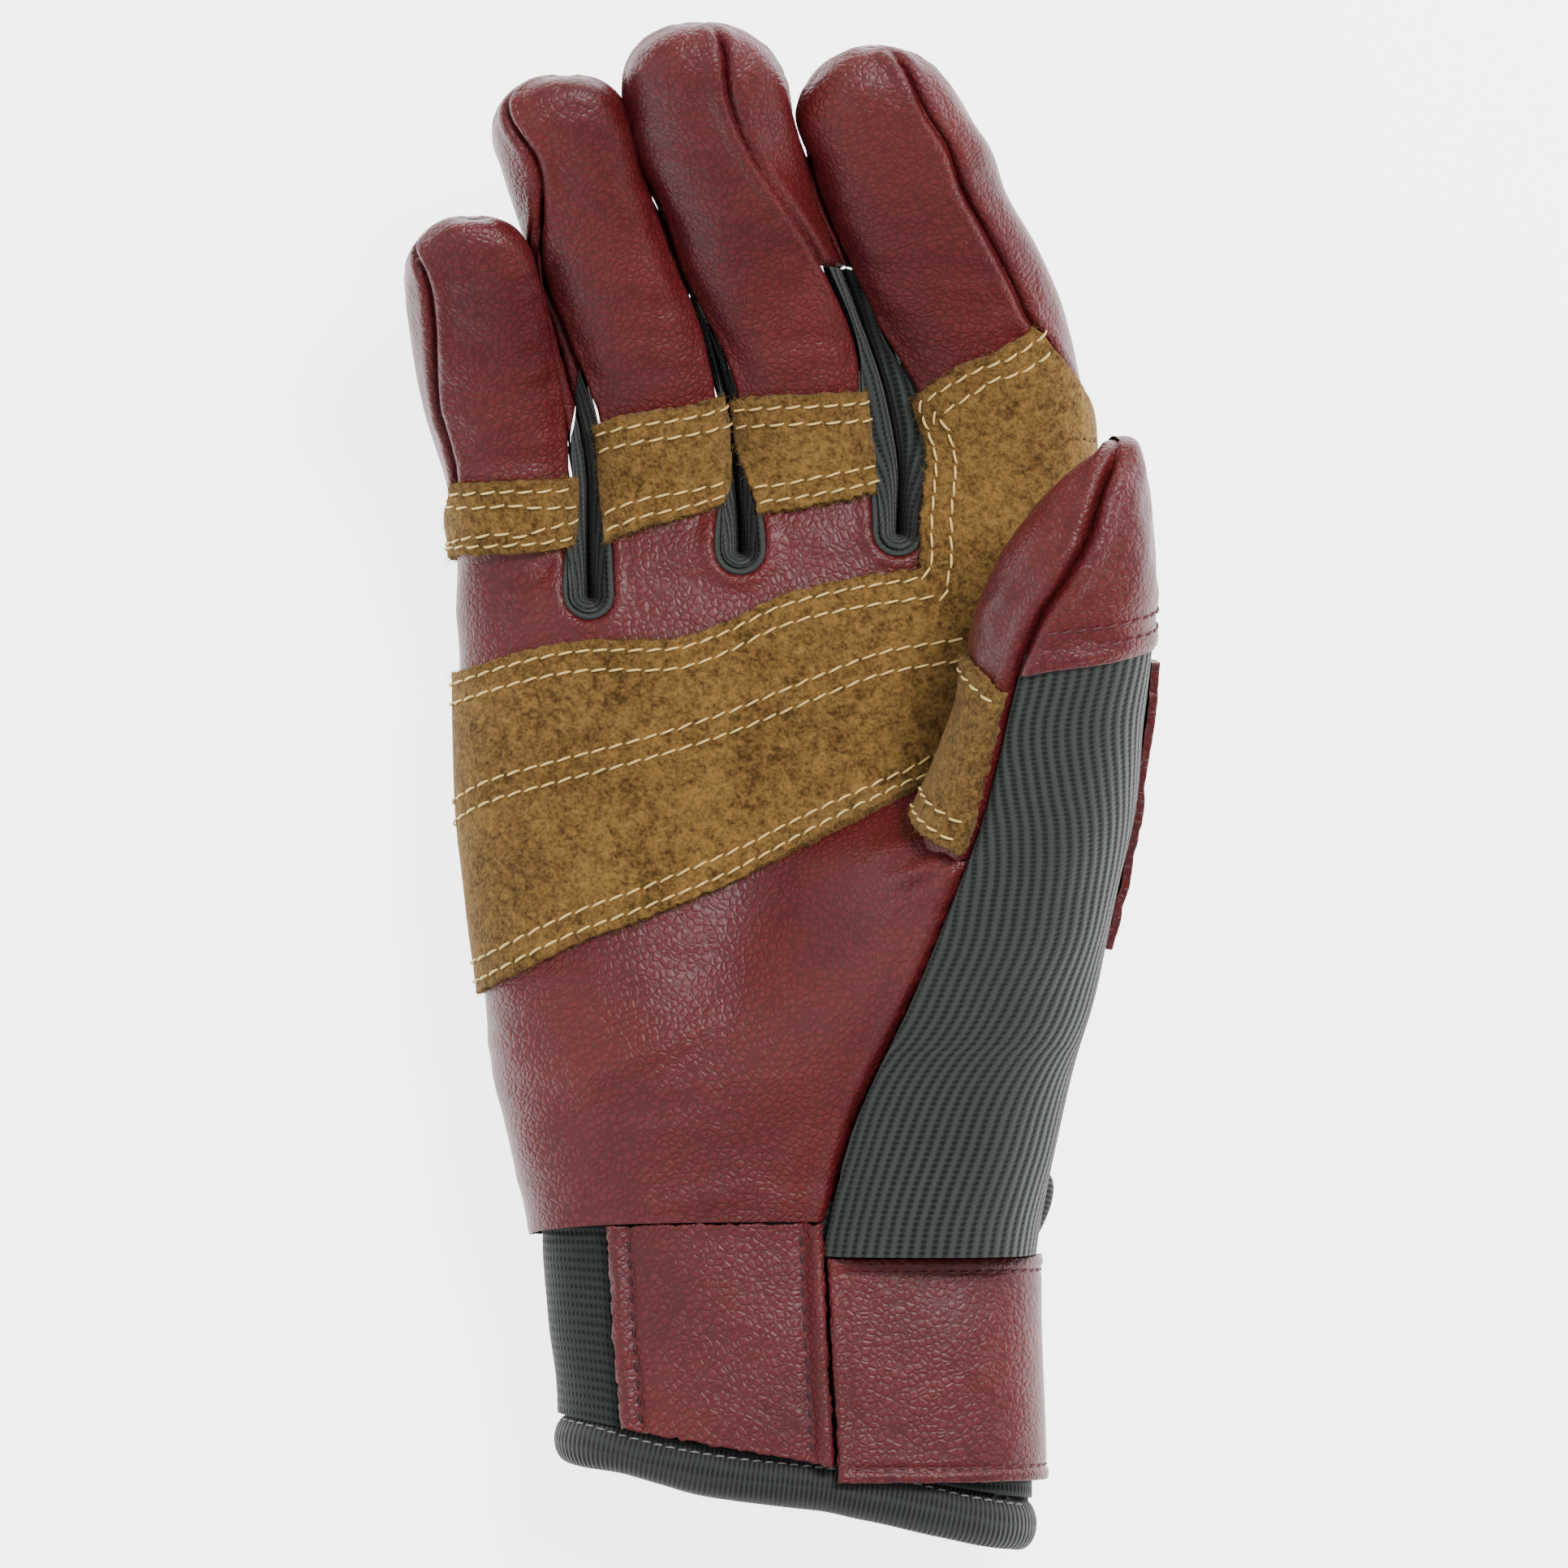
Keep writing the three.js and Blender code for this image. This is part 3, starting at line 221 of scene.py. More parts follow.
def hand(angle, y, grow=0.0):
    """Points of the hand at an angle round it and a level along it, with the palm's soft forms."""
    y = np.asarray(y, float)
    x, z, half_width, half_depth = section(y, grow)
    points = around(x, y, z, half_width, half_depth, angle)
    relief = 0.0
    for across, along, reach, height in PALM_FORMS:
        dx = (points[..., 0] - across * PALM_WIDTH) / (reach * PALM_WIDTH)
        dy = (points[..., 1] - WRIST_LEVEL - along * PALM_LENGTH) / (reach * PALM_WIDTH)
        relief = relief + height * PALM_DEPTH * np.exp(-(dx ** 2 + dy ** 2))
    facing = np.maximum(0, np.sin(np.radians(angle)))
    points[..., 2] += facing * relief * ease(points[..., 1], WRIST_LEVEL, WRIST_LEVEL + 0.2 * PALM_LENGTH)
    return points


def angle_across(x, y):
    """The angle on the palm side at which the hand's section reaches x."""
    middle, _, half_width, _ = section(np.asarray(y, float))
    share = np.clip((x - middle) / half_width, -1, 1)
    return np.degrees(np.arccos(bent_power(share, 1 / SQUARENESS)))


def crotch_point(i, share):
    """A point of the half circle at the bottom of crotch i, from its ulnar end (0) to its radial (1)."""
    i = np.clip(i, 0, 2)
    across = 2 * share - 1
    rise = CROTCH_RADIUS * (1 - np.sqrt(np.maximum(0, 1 - across ** 2)))
    y = WRIST_LEVEL + CROTCH_ALONG[i] * PALM_LENGTH
    return CROTCH_ACROSS[i] * PALM_WIDTH + CROTCH_RADIUS * across, y + rise


def crotch_angle(i, share):
    """The angle on the palm side of a point of a crotch."""
    x, _ = crotch_point(i, share)
    return angle_across(x, WRIST_LEVEL + CROTCH_ALONG[np.clip(i, 0, 2)] * PALM_LENGTH)


def column_place(column):
    """Finger, share across the finger and share across the crotch beside it, for each column."""
    i = np.clip(np.floor(column + 1e-9).astype(int), 0, 3)
    share = (column - i) / FINGER_SHARE
    gap = np.where(share > 1 + 1e-9, (column - i - FINGER_SHARE) / (1 - FINGER_SHARE), 0)
    return i, share, gap


def hand_angle(front, column):
    """The angle round the hand of each column, from one crotch's edge to the next."""
    i, share, gap = column_place(column)
    sign = 1 if front else -1
    start = np.where(i == 0, ULNAR_SEAM if front else ULNAR_SEAM - 360, sign * crotch_angle(i - 1, 1.0))
    end = np.where(i == 3, RADIAL_SEAM, sign * crotch_angle(i, 0.0))
    return np.where(gap > 0, sign * crotch_angle(i, gap), mix(start, end, share))


def knuckle_line(column):
    """The level at which each column passes from the palm to its finger."""
    i, share, gap = column_place(column)
    ends = [WRIST_LEVEL + end * PALM_LENGTH for end in KNUCKLE_ENDS]
    start = np.where(i == 0, ends[0], crotch_point(i - 1, 1.0)[1])
    end = np.where(i == 3, ends[1], crotch_point(i, 0.0)[1])
    return np.where(gap > 0, crotch_point(i, gap)[1], mix(start, end, share))


def wrist_line(angle):
    """The palm's lower edge, which arches a little over the palm side."""
    return WRIST_LEVEL + WRIST_ARCH * np.maximum(0, np.sin(np.radians(angle)))


def tip_share(s, cap):
    """How much of its full section is left near a rounded tip, from the cap's start and power."""
    start, power = cap
    t = np.clip((s - start) / (1 - start), 0, 1)
    return np.maximum(0, 1 - t ** power) ** (1 / power)


def digit(i, angle, s):
    """Points of finger i at an angle round it and a share along it."""
    finger = FINGERS[i]
    across, along, lift = finger["root"]
    size = tip_share(s, finger["cap"]) / 2
    return around(
        across * PALM_WIDTH + read(finger, "aside", s) * finger["length"],
        WRIST_LEVEL + along * PALM_LENGTH + s * finger["length"],
        lift * PALM_DEPTH + read(finger, "rise", s) * finger["length"],
        size * read(finger, "wide", s) * finger["width"],
        size * read(finger, "deep", s) * FINGER_DEPTH,
        angle,
    )


def seams(i, s):
    """The four seam angles round finger i: front ulnar, front radial, back radial and back ulnar."""
    closing = ease(s, 0.80, 0.95)
    parting = ease(s, SIDE_START, 0.40)
    back_ulnar = mix(BACK_ULNAR, -180.0, closing)
    back_radial = mix(BACK_RADIAL, 0.0, closing)
    front_ulnar = read(FINGERS[i], "ulnar", s)
    front_radial = read(FINGERS[i], "radial", s)
    if i == 0:
        back_ulnar = mix(ULNAR_SEAM - 360, back_ulnar, parting)
        front_ulnar = np.where(s <= SIDE_START, ULNAR_SEAM, front_ulnar)
    if i == 3:
        back_radial = mix(RADIAL_SEAM, back_radial, parting)
        front_radial = np.where(s <= SIDE_START, RADIAL_SEAM, front_radial)
    front_ulnar = np.minimum(front_ulnar, back_ulnar + 360)
    return front_ulnar, np.maximum(front_radial, back_radial), back_radial, back_ulnar


def skin(front, column, row, finger=None):
    """Points of the front or back skin. Rows run over the palm from 0 to 1 and up a finger to 2."""
    column, row = np.broadcast_arrays(np.asarray(column, float), np.asarray(row, float))
    angle = hand_angle(front, column)
    top = knuckle_line(column)
    place, share, _ = column_place(column)
    if finger is not None:
        place = np.full(column.shape, finger)
        share = (column - finger) / FINGER_SHARE
    s = np.maximum(row - 1, 0)
    y = np.where(row <= 1, mix(wrist_line(angle), top, np.minimum(row, 1)), top + s * LENGTHS[place])
    points = hand(angle, y)
    if row.max() <= 1:
        return points
    for i in range(4):
        mine = (place == i) & (row > 1)
        if not mine.any():
            continue
        front_ulnar, front_radial, back_radial, back_ulnar = seams(i, s[mine])
        ends = (front_ulnar, front_radial) if front else (back_ulnar, back_radial)
        tube = digit(i, mix(*ends, share[mine]), s[mine])
        points[mine] = mix(points[mine], tube, ease(s[mine], 0, KNUCKLE_BLEND)[:, None])
    return points


def thumb(angle, s):
    """Points of the thumb at an angle round it and a share along it."""
    size = tip_share(s, THUMB_CAP) / 2
    return around(
        read(THUMB, "across", s) * PALM_WIDTH,
        THUMB_START + s * THUMB_LENGTH,
        read(THUMB, "lift", s) * THUMB_DEPTH,
        size * read(THUMB, "wide", s) * THUMB_WIDTH,
        size * read(THUMB, "deep", s) * THUMB_DEPTH,
        angle,
    )


def noise(points, scale, seed=0):
    """Smooth random values from -1 to 1: hashed lattice corners, blended over each cell."""
    cell = np.asarray(points, float) / scale + 1000.0 + 17.0 * seed
    base = np.floor(cell).astype(np.int64)
    t = cell - base
    t = t * t * (3 - 2 * t)
    total = 0.0
    for corner in range(8):
        offset = np.array([corner & 1, corner >> 1 & 1, corner >> 2 & 1])
        key = (base + offset) * np.array([73856093, 19349663, 83492791])
        mixed = (key[..., 0] ^ key[..., 1] ^ key[..., 2]) * 2654435761 & 0xFFFFFFFF
        mixed = (mixed ^ mixed >> 15) * 2246822519 & 0xFFFFFFFF
        value = (mixed >> 8 & 0xFFFF) / 32767.5 - 1
        weight = np.prod(np.where(offset == 1, t, 1 - t), axis=-1)
        total = total + weight * value
    return total


def normals_of(points, flip=False):
    """Unit normals of a grid of points: the cross product of its two directions."""
    across = np.gradient(points, axis=1)
    along = np.gradient(points, axis=0)
    normal = np.cross(across, along)
    size = np.linalg.norm(normal, axis=-1, keepdims=True)
    normal = np.where(size > 1e-9, normal / np.maximum(size, 1e-9), [0, 0, 1.0])
    return -normal if flip else normal


def nearest(points, curves):
    """Distance of each point from the nearest of some sampled curves."""
    flat = points.reshape(-1, 3).astype(np.float32)
    targets = np.concatenate([np.asarray(c, np.float32).reshape(-1, 3) for c in curves])
    best = np.full(len(flat), 1e9, np.float32)
    for part in np.array_split(targets, max(1, len(targets) // 60)):
        gap = ((flat[:, None, :] - part[None]) ** 2).sum(-1).min(1)
        best = np.minimum(best, gap)
    return np.sqrt(best).reshape(points.shape[:-1])


TIP_WAY = np.array([-0.15, 0.84, 0.52])


def rolled(points, normal, distance, height=0.45, groove=1.5, pucker=0.25, reach=1.5, depth=1.0):
    """The sheet by a seam: a swelling at reach from it, then a fall into the groove, with puckers.
    The depth is the share of the fall that is left at each point."""
    swell = height * np.exp(-((distance - reach) / (0.7 * reach)) ** 2)
    fall = -groove * np.exp(-(distance / 0.5) ** 1.6)
    folds = pucker * noise(points, 2.2, 3) * np.exp(-distance / 3.0) * (1 - np.exp(-distance / 0.8))
    return points + normal * (swell + fall * depth + folds)[..., None]


def close_steps(start, end, count, crowd=0.7):
    """Values from start to end that stand closer together near both ends."""
    t = np.linspace(0, 1, count)
    return mix(start, end, mix(t, (1 - np.cos(np.pi * t)) / 2, crowd))


def mesh_piece(name, points, faces, material, uv=None, nodes=()):
    """A mesh object from points in millimetres and faces, with its place in the frame declared."""
    mesh = bpy.data.meshes.new(name)
    faces = np.asarray(faces)
    mesh.vertices.add(len(points))
    mesh.vertices.foreach_set("co", ((points + GLOVE_SHIFT) * MM).astype(np.float32).ravel())
    mesh.loops.add(faces.size)
    mesh.loops.foreach_set("vertex_index", faces.ravel().astype(np.int32))
    mesh.polygons.add(len(faces))
    mesh.polygons.foreach_set("loop_start", np.arange(len(faces), dtype=np.int32) * faces.shape[1])
    mesh.update(calc_edges=True)
    mesh.polygons.foreach_set("use_smooth", np.full(len(faces), True))
    if uv is not None:
        layer = mesh.uv_layers.new(name="sizes")
        layer.data.foreach_set("uv", uv[faces.ravel()].astype(np.float32).ravel())
    mesh.validate()
    piece = bpy.data.objects.new(name, mesh)
    bpy.context.scene.collection.objects.link(piece)
    piece.data.materials.append(material)
    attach(piece, "root")
    if nodes:
        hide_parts(*nodes)


def sizes_along(grid):
    """Lengths in millimetres across and along a grid, measured from its middle column and first row."""
    across = np.linalg.norm(np.diff(grid, axis=1), axis=-1)
    u = np.concatenate([np.zeros((grid.shape[0], 1)), np.cumsum(across, axis=1)], axis=1)
    u = u - u[:, u.shape[1] // 2][:, None]
    along = np.linalg.norm(np.diff(grid, axis=0), axis=-1).mean(axis=1)
    v = np.concatenate([[0], np.cumsum(along)])
    return np.stack([u, np.broadcast_to(v[:, None], u.shape)], axis=-1)


def grid_piece(name, slot, material, *grids):
    """A piece made of grids of points, with sizes along them as UV, in place of the solid of its name."""
    faces, start = [], 0
    for rows, columns, _ in (grid.shape for grid in grids):
        a = np.arange(rows - 1)[:, None] * columns + np.arange(columns - 1)[None] + start
        faces.append(np.stack([a, a + 1, a + 1 + columns, a + columns], axis=-1).reshape(-1, 4))
        start += rows * columns
    points = np.concatenate([grid.reshape(-1, 3) for grid in grids])
    uv = np.concatenate([sizes_along(grid).reshape(-1, 2) for grid in grids])
    mesh_piece(name, points, np.concatenate(faces), material, uv, [name])


def along_thumb(y):
    """The share along the thumb at a level."""
    return (y - THUMB_START) / THUMB_LENGTH


def thumb_height(x, y):
    """The height of the thumb's palm side over a place."""
    s = np.clip(along_thumb(y), -0.1, 0.75)
    middle = read(THUMB, "across", s) * PALM_WIDTH
    half_width = read(THUMB, "wide", s) * THUMB_WIDTH / 2
    offset = np.minimum(np.abs((x - middle) / half_width), 1)
    rise = np.sqrt(np.maximum(0, 1 - offset ** (2 / SQUARENESS))) ** SQUARENESS
    return read(THUMB, "lift", s) * THUMB_DEPTH + read(THUMB, "deep", s) * THUMB_DEPTH / 2 * rise


def gusset_seam(y):
    """Points of the seam of the gusset at given levels."""
    s = np.clip(along_thumb(y), 0, 1)
    return thumb(read(THUMB, "seam", s), s)


def gusset_line(y):
    """Where the seam of the gusset lies across, at a level."""
    return gusset_seam(y)[..., 0]


def draped(points, facing):
    """The palm's skin drawn over the thumb's root: it climbs on a smooth slope to the height of the
    gusset's seam, and lies below the gusset beyond it."""
    x, y, z = points[..., 0], points[..., 1], points[..., 2]
    seam = gusset_seam(y)
    past = x - seam[..., 0]
    held = 1 - ease(along_thumb(y), 0.47, 0.60)
    slope = mix(z, seam[..., 2], ease(past, -34, 2) * held)
    under = mix(z, np.minimum(slope, thumb_height(x, y) - 3.0), 1 - ease(y, 2.0, 12.0))
    out = points.copy()
    out[..., 2] = np.where(facing, np.where(past > 0.4, under, slope), z)
    return out


def creased(points):
    """Height that the leather's creases add: a bell across each line, fading at its ends."""
    x, y = points[..., 0], points[..., 1]
    total = np.zeros(x.shape)
    for x0, y0, x1, y1, width, height in CREASES:
        along = np.array([x1 - x0, y1 - y0])
        length = np.hypot(*along)
        t = ((x - x0) * along[0] + (y - y0) * along[1]) / length ** 2
        gap = ((x - x0) * along[1] - (y - y0) * along[0]) / length
        gap = gap + 0.8 * np.sin(3 * t + x0)
        ends = ease(t, -0.15, 0.25) * (1 - ease(t, 0.75, 1.15))
        total = total + height * np.exp(-(gap / width) ** 2) * ends
    return total


def surface_nodes(name):
    """A new material with makers for its nodes, for its sums and for its surface's settings."""
    material = bpy.data.materials.new(name)
    material.use_nodes = True
    tree = material.node_tree
    shader = tree.nodes["Principled BSDF"]

    def fill(socket, value):
        """A socket linked to another node's output, or set to a value."""
        if isinstance(value, bpy.types.NodeSocket):
            tree.links.new(value, socket)
        else:
            socket.default_value = value

    def add(kind, *values, **named):
        """A node of a kind, with settings and sockets by name, and its first sockets in order."""
        node = tree.nodes.new(kind)
        for key, value in named.items():
            if hasattr(node, key):
                setattr(node, key, value)
            else:
                fill(node.inputs[key], value)
        for socket, value in zip(node.inputs, values):
            fill(socket, value)
        return node

    def calc(operation, *values):
        """The output of a sum of values."""
        return add("ShaderNodeMath", *values, operation=operation).outputs[0]

    def paint(settings):
        """The surface's sockets, by name."""
        for key, value in settings.items():
            fill(shader.inputs[key], value)

    return material, add, calc, paint


def ramp(add, value, stops):
    """A colour ramp over a value, from (position, colour) stops."""
    node = add("ShaderNodeValToRGB", Fac=value)
    while len(node.color_ramp.elements) < len(stops):
        node.color_ramp.elements.new(0.5)
    for element, (position, colour) in zip(node.color_ramp.elements, stops):
        element.position = position
        element.color = (*colour, 1)
    return node.outputs["Color"]


def leather_material(name, dark, light, grain=0.0011, gloss=0.42):
    """Pebbled leather: small cells of grain, fine wrinkles and mottled colour, with painted shade that
    darkens the pits between the cells.
    """
    material, add, calc, paint = surface_nodes(name)
    place = add("ShaderNodeTexCoord").outputs["Object"]
    bend = add("ShaderNodeTexNoise", Vector=place, Scale=300, Detail=2).outputs["Color"]
    bent = add("ShaderNodeVectorMath", bend, (0.0007, 0.0007, 0.0007), place, operation="MULTIPLY_ADD")
    bent = bent.outputs["Vector"]
    pits = add("ShaderNodeTexVoronoi", feature="DISTANCE_TO_EDGE", Vector=bent, Scale=1 / grain)
    wrinkles = add("ShaderNodeTexNoise", Vector=place, Scale=900, Detail=4, Roughness=0.6).outputs["Fac"]
    folds = add("ShaderNodeTexNoise", Vector=place, Scale=90, Detail=3, Distortion=0.6).outputs["Fac"]
    blotch = add("ShaderNodeTexNoise", Vector=place, Scale=45, Detail=5, Roughness=0.6).outputs["Fac"]
    edge = add("ShaderNodeMapRange", interpolation_type="SMOOTHSTEP", Value=pits.outputs["Distance"])
    edge.inputs["From Max"].default_value = 0.28
    cell = edge.outputs["Result"]
    height = calc("MULTIPLY_ADD", wrinkles, 0.7, calc("MULTIPLY", cell, blotch))
    fine = add("ShaderNodeBump", Strength=0.6, Distance=0.00024, Height=height).outputs["Normal"]
    soft = add("ShaderNodeBump", Strength=0.5, Distance=0.0010, Height=folds, Normal=fine)
    # Colour: random mottling, with painted shade in the grain's pits along the cells' edges.
    colour = ramp(add, calc("MULTIPLY_ADD", cell, 0.34, blotch), [(0.30, dark), (1.0, light)])
    rough = add("ShaderNodeMapRange", Value=wrinkles)
    rough.inputs["To Min"].default_value = gloss - 0.08
    rough.inputs["To Max"].default_value = gloss + 0.14
    paint({
        "Base Color": colour, "Roughness": rough.outputs["Result"], "Normal": soft.outputs["Normal"],
        "Specular IOR Level": 0.36,
    })
    return material


red_leather = leather_material("red_leather", (0.048, 0.0032, 0.0044), (0.112, 0.0105, 0.0118))


def comb_columns(fine):
    """Columns of the palm's grid: crowded at each finger's edges, with the crotches between."""
    parts = []
    for i in range(4):
        parts.append(close_steps(i, i + FINGER_SHARE, fine)[(0 if i == 0 else 1):])
        if i < 3:
            turns = (1 - np.cos(np.pi * np.arange(1, 13) / 12)) / 2
            parts.append(i + FINGER_SHARE + (1 - FINGER_SHARE) * turns)
    return np.concatenate(parts)


def front_seams():
    """Sampled curves of the seams round the palm's leather: outer edges, finger edges and crotches."""
    s = np.linspace(0, 0.99, 140)
    curves = [skin(True, 0.0, 1 + s, 0), skin(True, LAST_COLUMN, 1 + s, 3)]
    rows = np.linspace(0, 1, 160)
    curves += [skin(True, 0.0, rows), skin(True, LAST_COLUMN, rows)]
    for i in range(3):
        curves += [skin(True, i + FINGER_SHARE, 1 + s, i), skin(True, i + 1.0, 1 + s, i + 1)]
        curves.append(skin(True, i + FINGER_SHARE + (1 - FINGER_SHARE) * np.linspace(0, 1, 24), 1.0))
    return curves


def tip_depth(rows, low=0.955, high=0.995):
    """How much of the seams' groove is left towards a tip, where all seams run together."""
    return (1 - ease(np.where(rows > 1.0001, rows - 1, rows), low, high))[:, None]


def palm_relief(points, normal, distance, depth=1.0):
    """The palm's skin with creases, cross wrinkles on the fingers and the swelling by its seams."""
    stretch = points * np.array([0.35, 1.0, 0.6])
    on_fingers = ease(points[..., 1], 22, 50)
    wrinkle = 0.22 * noise(stretch, 2.6, 1) * mix(0.5, 1.0, on_fingers) + 0.3 * noise(points, 9.0, 2)
    height = wrinkle * ease(distance, 0.5, 3.0) + creased(points)
    return rolled(points + normal * height[..., None], normal, distance, depth=depth)


def seam_by_gusset(points):
    """The swelling and the fall of the palm's skin along the seam of the gusset."""
    past = gusset_line(points[..., 1]) - points[..., 0]
    here = (points[..., 2] > 18) & (points[..., 1] < 6)
    swell = 0.5 * np.exp(-((past - 1.6) / 1.1) ** 2) - 1.7 * np.exp(-(np.maximum(past, 0) / 0.55) ** 1.6)
    folds = 0.35 * noise(points, 2.6, 4) * np.exp(-np.maximum(past, 0) / 4.0)
    out = points.copy()
    out[..., 2] += np.where(here & (past > -1.0), swell + folds, 0)
    return out


edge_curves = front_seams()
columns = comb_columns(40)
palm_rows = close_steps(0, 1, 150, 0.4)
palm_grid = skin(True, columns[None, :], palm_rows[:, None])
facing = (np.sin(np.radians(hand_angle(True, columns))) > 0.25)[None, :] & (palm_grid[..., 2] > -1)
palm_normal = normals_of(palm_grid)
palm_gap = nearest(palm_grid, edge_curves)
palm_grid = palm_relief(draped(palm_grid, facing), palm_normal, palm_gap)
palm_grid = seam_by_gusset(palm_grid)
palm_grids = [palm_grid]
finger_rows = 1 + np.concatenate([np.linspace(0, 0.9, 130), close_steps(0.9, 1.0, 26, 0.8)[1:]])
for i in range(4):
    mine = (columns >= i - 1e-9) & (columns <= i + FINGER_SHARE + 1e-9)
    grid = skin(True, columns[mine][None, :], finger_rows[:, None], i)
    normal = normals_of(grid)
    normal[-1] = TIP_WAY
    blend = ease(np.arange(len(finger_rows)), 0, 8)[:, None, None]
    normal = mix(palm_normal[-1][mine][None], normal, blend)
    normal /= np.linalg.norm(normal, axis=-1, keepdims=True)
    grid = palm_relief(grid, normal, nearest(grid, edge_curves), tip_depth(finger_rows))
    grid[0] = palm_grid[-1][mine]
    palm_grids.append(grid)
grid_piece("palm_front", "goat_leather", red_leather, *palm_grids)


# The back of the hand is one piece of dark ribbed fabric, flat where it lies on the table. It runs
# from the wrist to the backs of the fingers, and swells out a little beside the index finger.
def rib_material(name, pitch, along_u, dark, light, step):
    """Ribbed fabric: rounded ribs a pitch apart and fine dots of thread down the grooves, with painted shade
    in the grooves and a painted highlight on the ribs' crowns.
    """
    material, add, calc, paint = surface_nodes(name)
    sizes = add("ShaderNodeUVMap", uv_map="sizes").outputs["UV"]
    parts = add("ShaderNodeSeparateXYZ", Vector=sizes)
    place = add("ShaderNodeTexCoord").outputs["Object"]
    wobble = add("ShaderNodeTexNoise", Vector=place, Scale=120, Detail=2).outputs["Fac"]
    across = parts.outputs["X" if along_u else "Y"]
    along = parts.outputs["Y" if along_u else "X"]
    shifted = calc("MULTIPLY_ADD", wobble, 0.35, across)
    wave = calc("SINE", calc("MULTIPLY", shifted, 2 * math.pi / pitch))
    rib = add("ShaderNodeMapRange", Value=wave)
    rib.inputs["From Min"].default_value = -1
    rib = rib.outputs["Result"]
    dots = calc("SINE", calc("MULTIPLY", along, 2 * math.pi / step))
    fibre = add("ShaderNodeTexNoise", Vector=place, Scale=2600, Detail=3).outputs["Fac"]
    dotted = calc("MULTIPLY", calc("SUBTRACT", 1.0, rib), dots)
    height = calc("MULTIPLY_ADD", fibre, 0.35, calc("MULTIPLY_ADD", dotted, 0.22, rib))
    bump = add("ShaderNodeBump", Strength=0.9, Distance=0.00035, Height=height)
    # Colour: painted shade in the grooves and a painted highlight on the crowns, with the dots of thread and
    # random fibre tone on top.
    tone = calc("MULTIPLY_ADD", dotted, 0.3, calc("MULTIPLY_ADD", fibre, 0.5, rib))
    paint({
        "Base Color": ramp(add, tone, [(0.25, dark), (1.0, light)]), "Normal": bump.outputs["Normal"],
        "Roughness": 0.8, "Sheen Weight": 0.08, "Sheen Roughness": 0.5, "Specular IOR Level": 0.2,
    })
    return material


ribbed = rib_material("ribbed_fabric", 1.78, True, (0.006, 0.008, 0.007), (0.035, 0.041, 0.037), 0.9)
BACK_TOP = 0.66
back_rows = np.linspace(0, 1, 90)
back_columns = columns[::2] if len(columns) % 2 else np.append(columns[::2], columns[-1])
back_grid = skin(False, back_columns[None, :], back_rows[:, None])
back_grids = []
back_normal = normals_of(back_grid, flip=True)
back_curves = [skin(False, 0.0, np.linspace(0, 1, 120)), skin(False, LAST_COLUMN, np.linspace(0, 1, 120))]
back_relief = rolled(back_grid, back_normal, nearest(back_grid, back_curves), 0.3, 1.2, 0.1)
back_relief[..., 2] = np.maximum(back_relief[..., 2], 0)
back_grids.append(back_relief[:, ::-1])
for i in range(4):
    mine = np.linspace(i, i + FINGER_SHARE, 24)
    rows = 1 + np.linspace(0, BACK_TOP, 60)
    grid = skin(False, mine[None, :], rows[:, None], i)
    normal = normals_of(grid, flip=True)
    curves = [grid[:, 0], grid[:, -1]]
    side = np.exp(-((np.linspace(0, 1, 24)[None, :] - 0.84) / 0.14) ** 2)
    bulge = 3.6 * side * np.exp(-((rows[:, None] - 1.47) / 0.10) ** 2) if i == 3 else 0.0
    grid = rolled(grid, normal, nearest(grid, curves), 0.25, 1.0, 0.1) + normal * np.asarray(bulge)[..., None]
    grid[..., 2] = np.maximum(grid[..., 2], 0)
    back_grids.append(grid[:, ::-1])
grid_piece("hand_back", "ribbed_fabric", ribbed, *back_grids)


# Leather caps over the backs of the fingertips. They start where the ribbed fabric ends, and their
# rolled edges show above the front seams.
for i, finger in enumerate(FINGERS):
    rows = 1 + np.concatenate([np.linspace(BACK_TOP, 0.9, 40), close_steps(0.9, 1.0, 22, 0.8)[1:]])
    grid = skin(False, close_steps(i, i + FINGER_SHARE, 40)[None, :], rows[:, None], i)
    normal = normals_of(grid, flip=True)
    normal[-1] = TIP_WAY
    curves = [grid[:, 0], grid[:, -1], grid[0]]
    grid = rolled(grid, normal, nearest(grid, curves), 0.6, 1.2, 0.3, depth=tip_depth(rows))
    name = "tip_cap_" + finger["name"]
    grid_piece(name, "goat_leather", red_leather, grid[:, ::-1])


# The sides of the fingers: dark fabric strips that run down one finger, round the crotch and up
# the next, tucked into the gap and bound along the palm's edge, and leather strips above them.
FORCHETTE_TOPS = [0.42, 0.54, 0.54]


def wall(i, radial, s, share):
    """Points of a finger's side wall, from its front seam (share 0) to its back seam (1)."""
    front_ulnar, front_radial, back_radial, back_ulnar = seams(i, s)
    column = i + (FINGER_SHARE if radial else 0.0)
    start, end = (front_radial, back_radial) if radial else (front_ulnar - 360, back_ulnar)
    tube = digit(i, mix(start, end, share), s)
    y = knuckle_line(np.array(column)) + s * FINGERS[i]["length"]
    front = hand(hand_angle(True, np.array(column)), y)
    slab = mix(front, hand(hand_angle(False, np.array(column)), y), np.asarray(share)[..., None])
    return mix(slab, tube, ease(s, 0, KNUCKLE_BLEND)[..., None])


def roll(line, ways, width, depth, sides=28):
    """A tube along a line: an oval section across the line, one axis along the outward ways."""
    along = np.gradient(line, axis=0)
    along /= np.linalg.norm(along, axis=1, keepdims=True)
    out = ways - along * (ways * along).sum(-1, keepdims=True)
    out /= np.linalg.norm(out, axis=1, keepdims=True)
    across = np.cross(along, out)
    turn = np.linspace(0, 2 * np.pi, sides + 1)
    width, depth = np.broadcast_to(width, len(line)), np.broadcast_to(depth, len(line))
    tube = line[:, None] + depth[:, None, None] / 2 * np.cos(turn)[None, :, None] * out[:, None]
    return tube + width[:, None, None] / 2 * np.sin(turn)[None, :, None] * across[:, None]


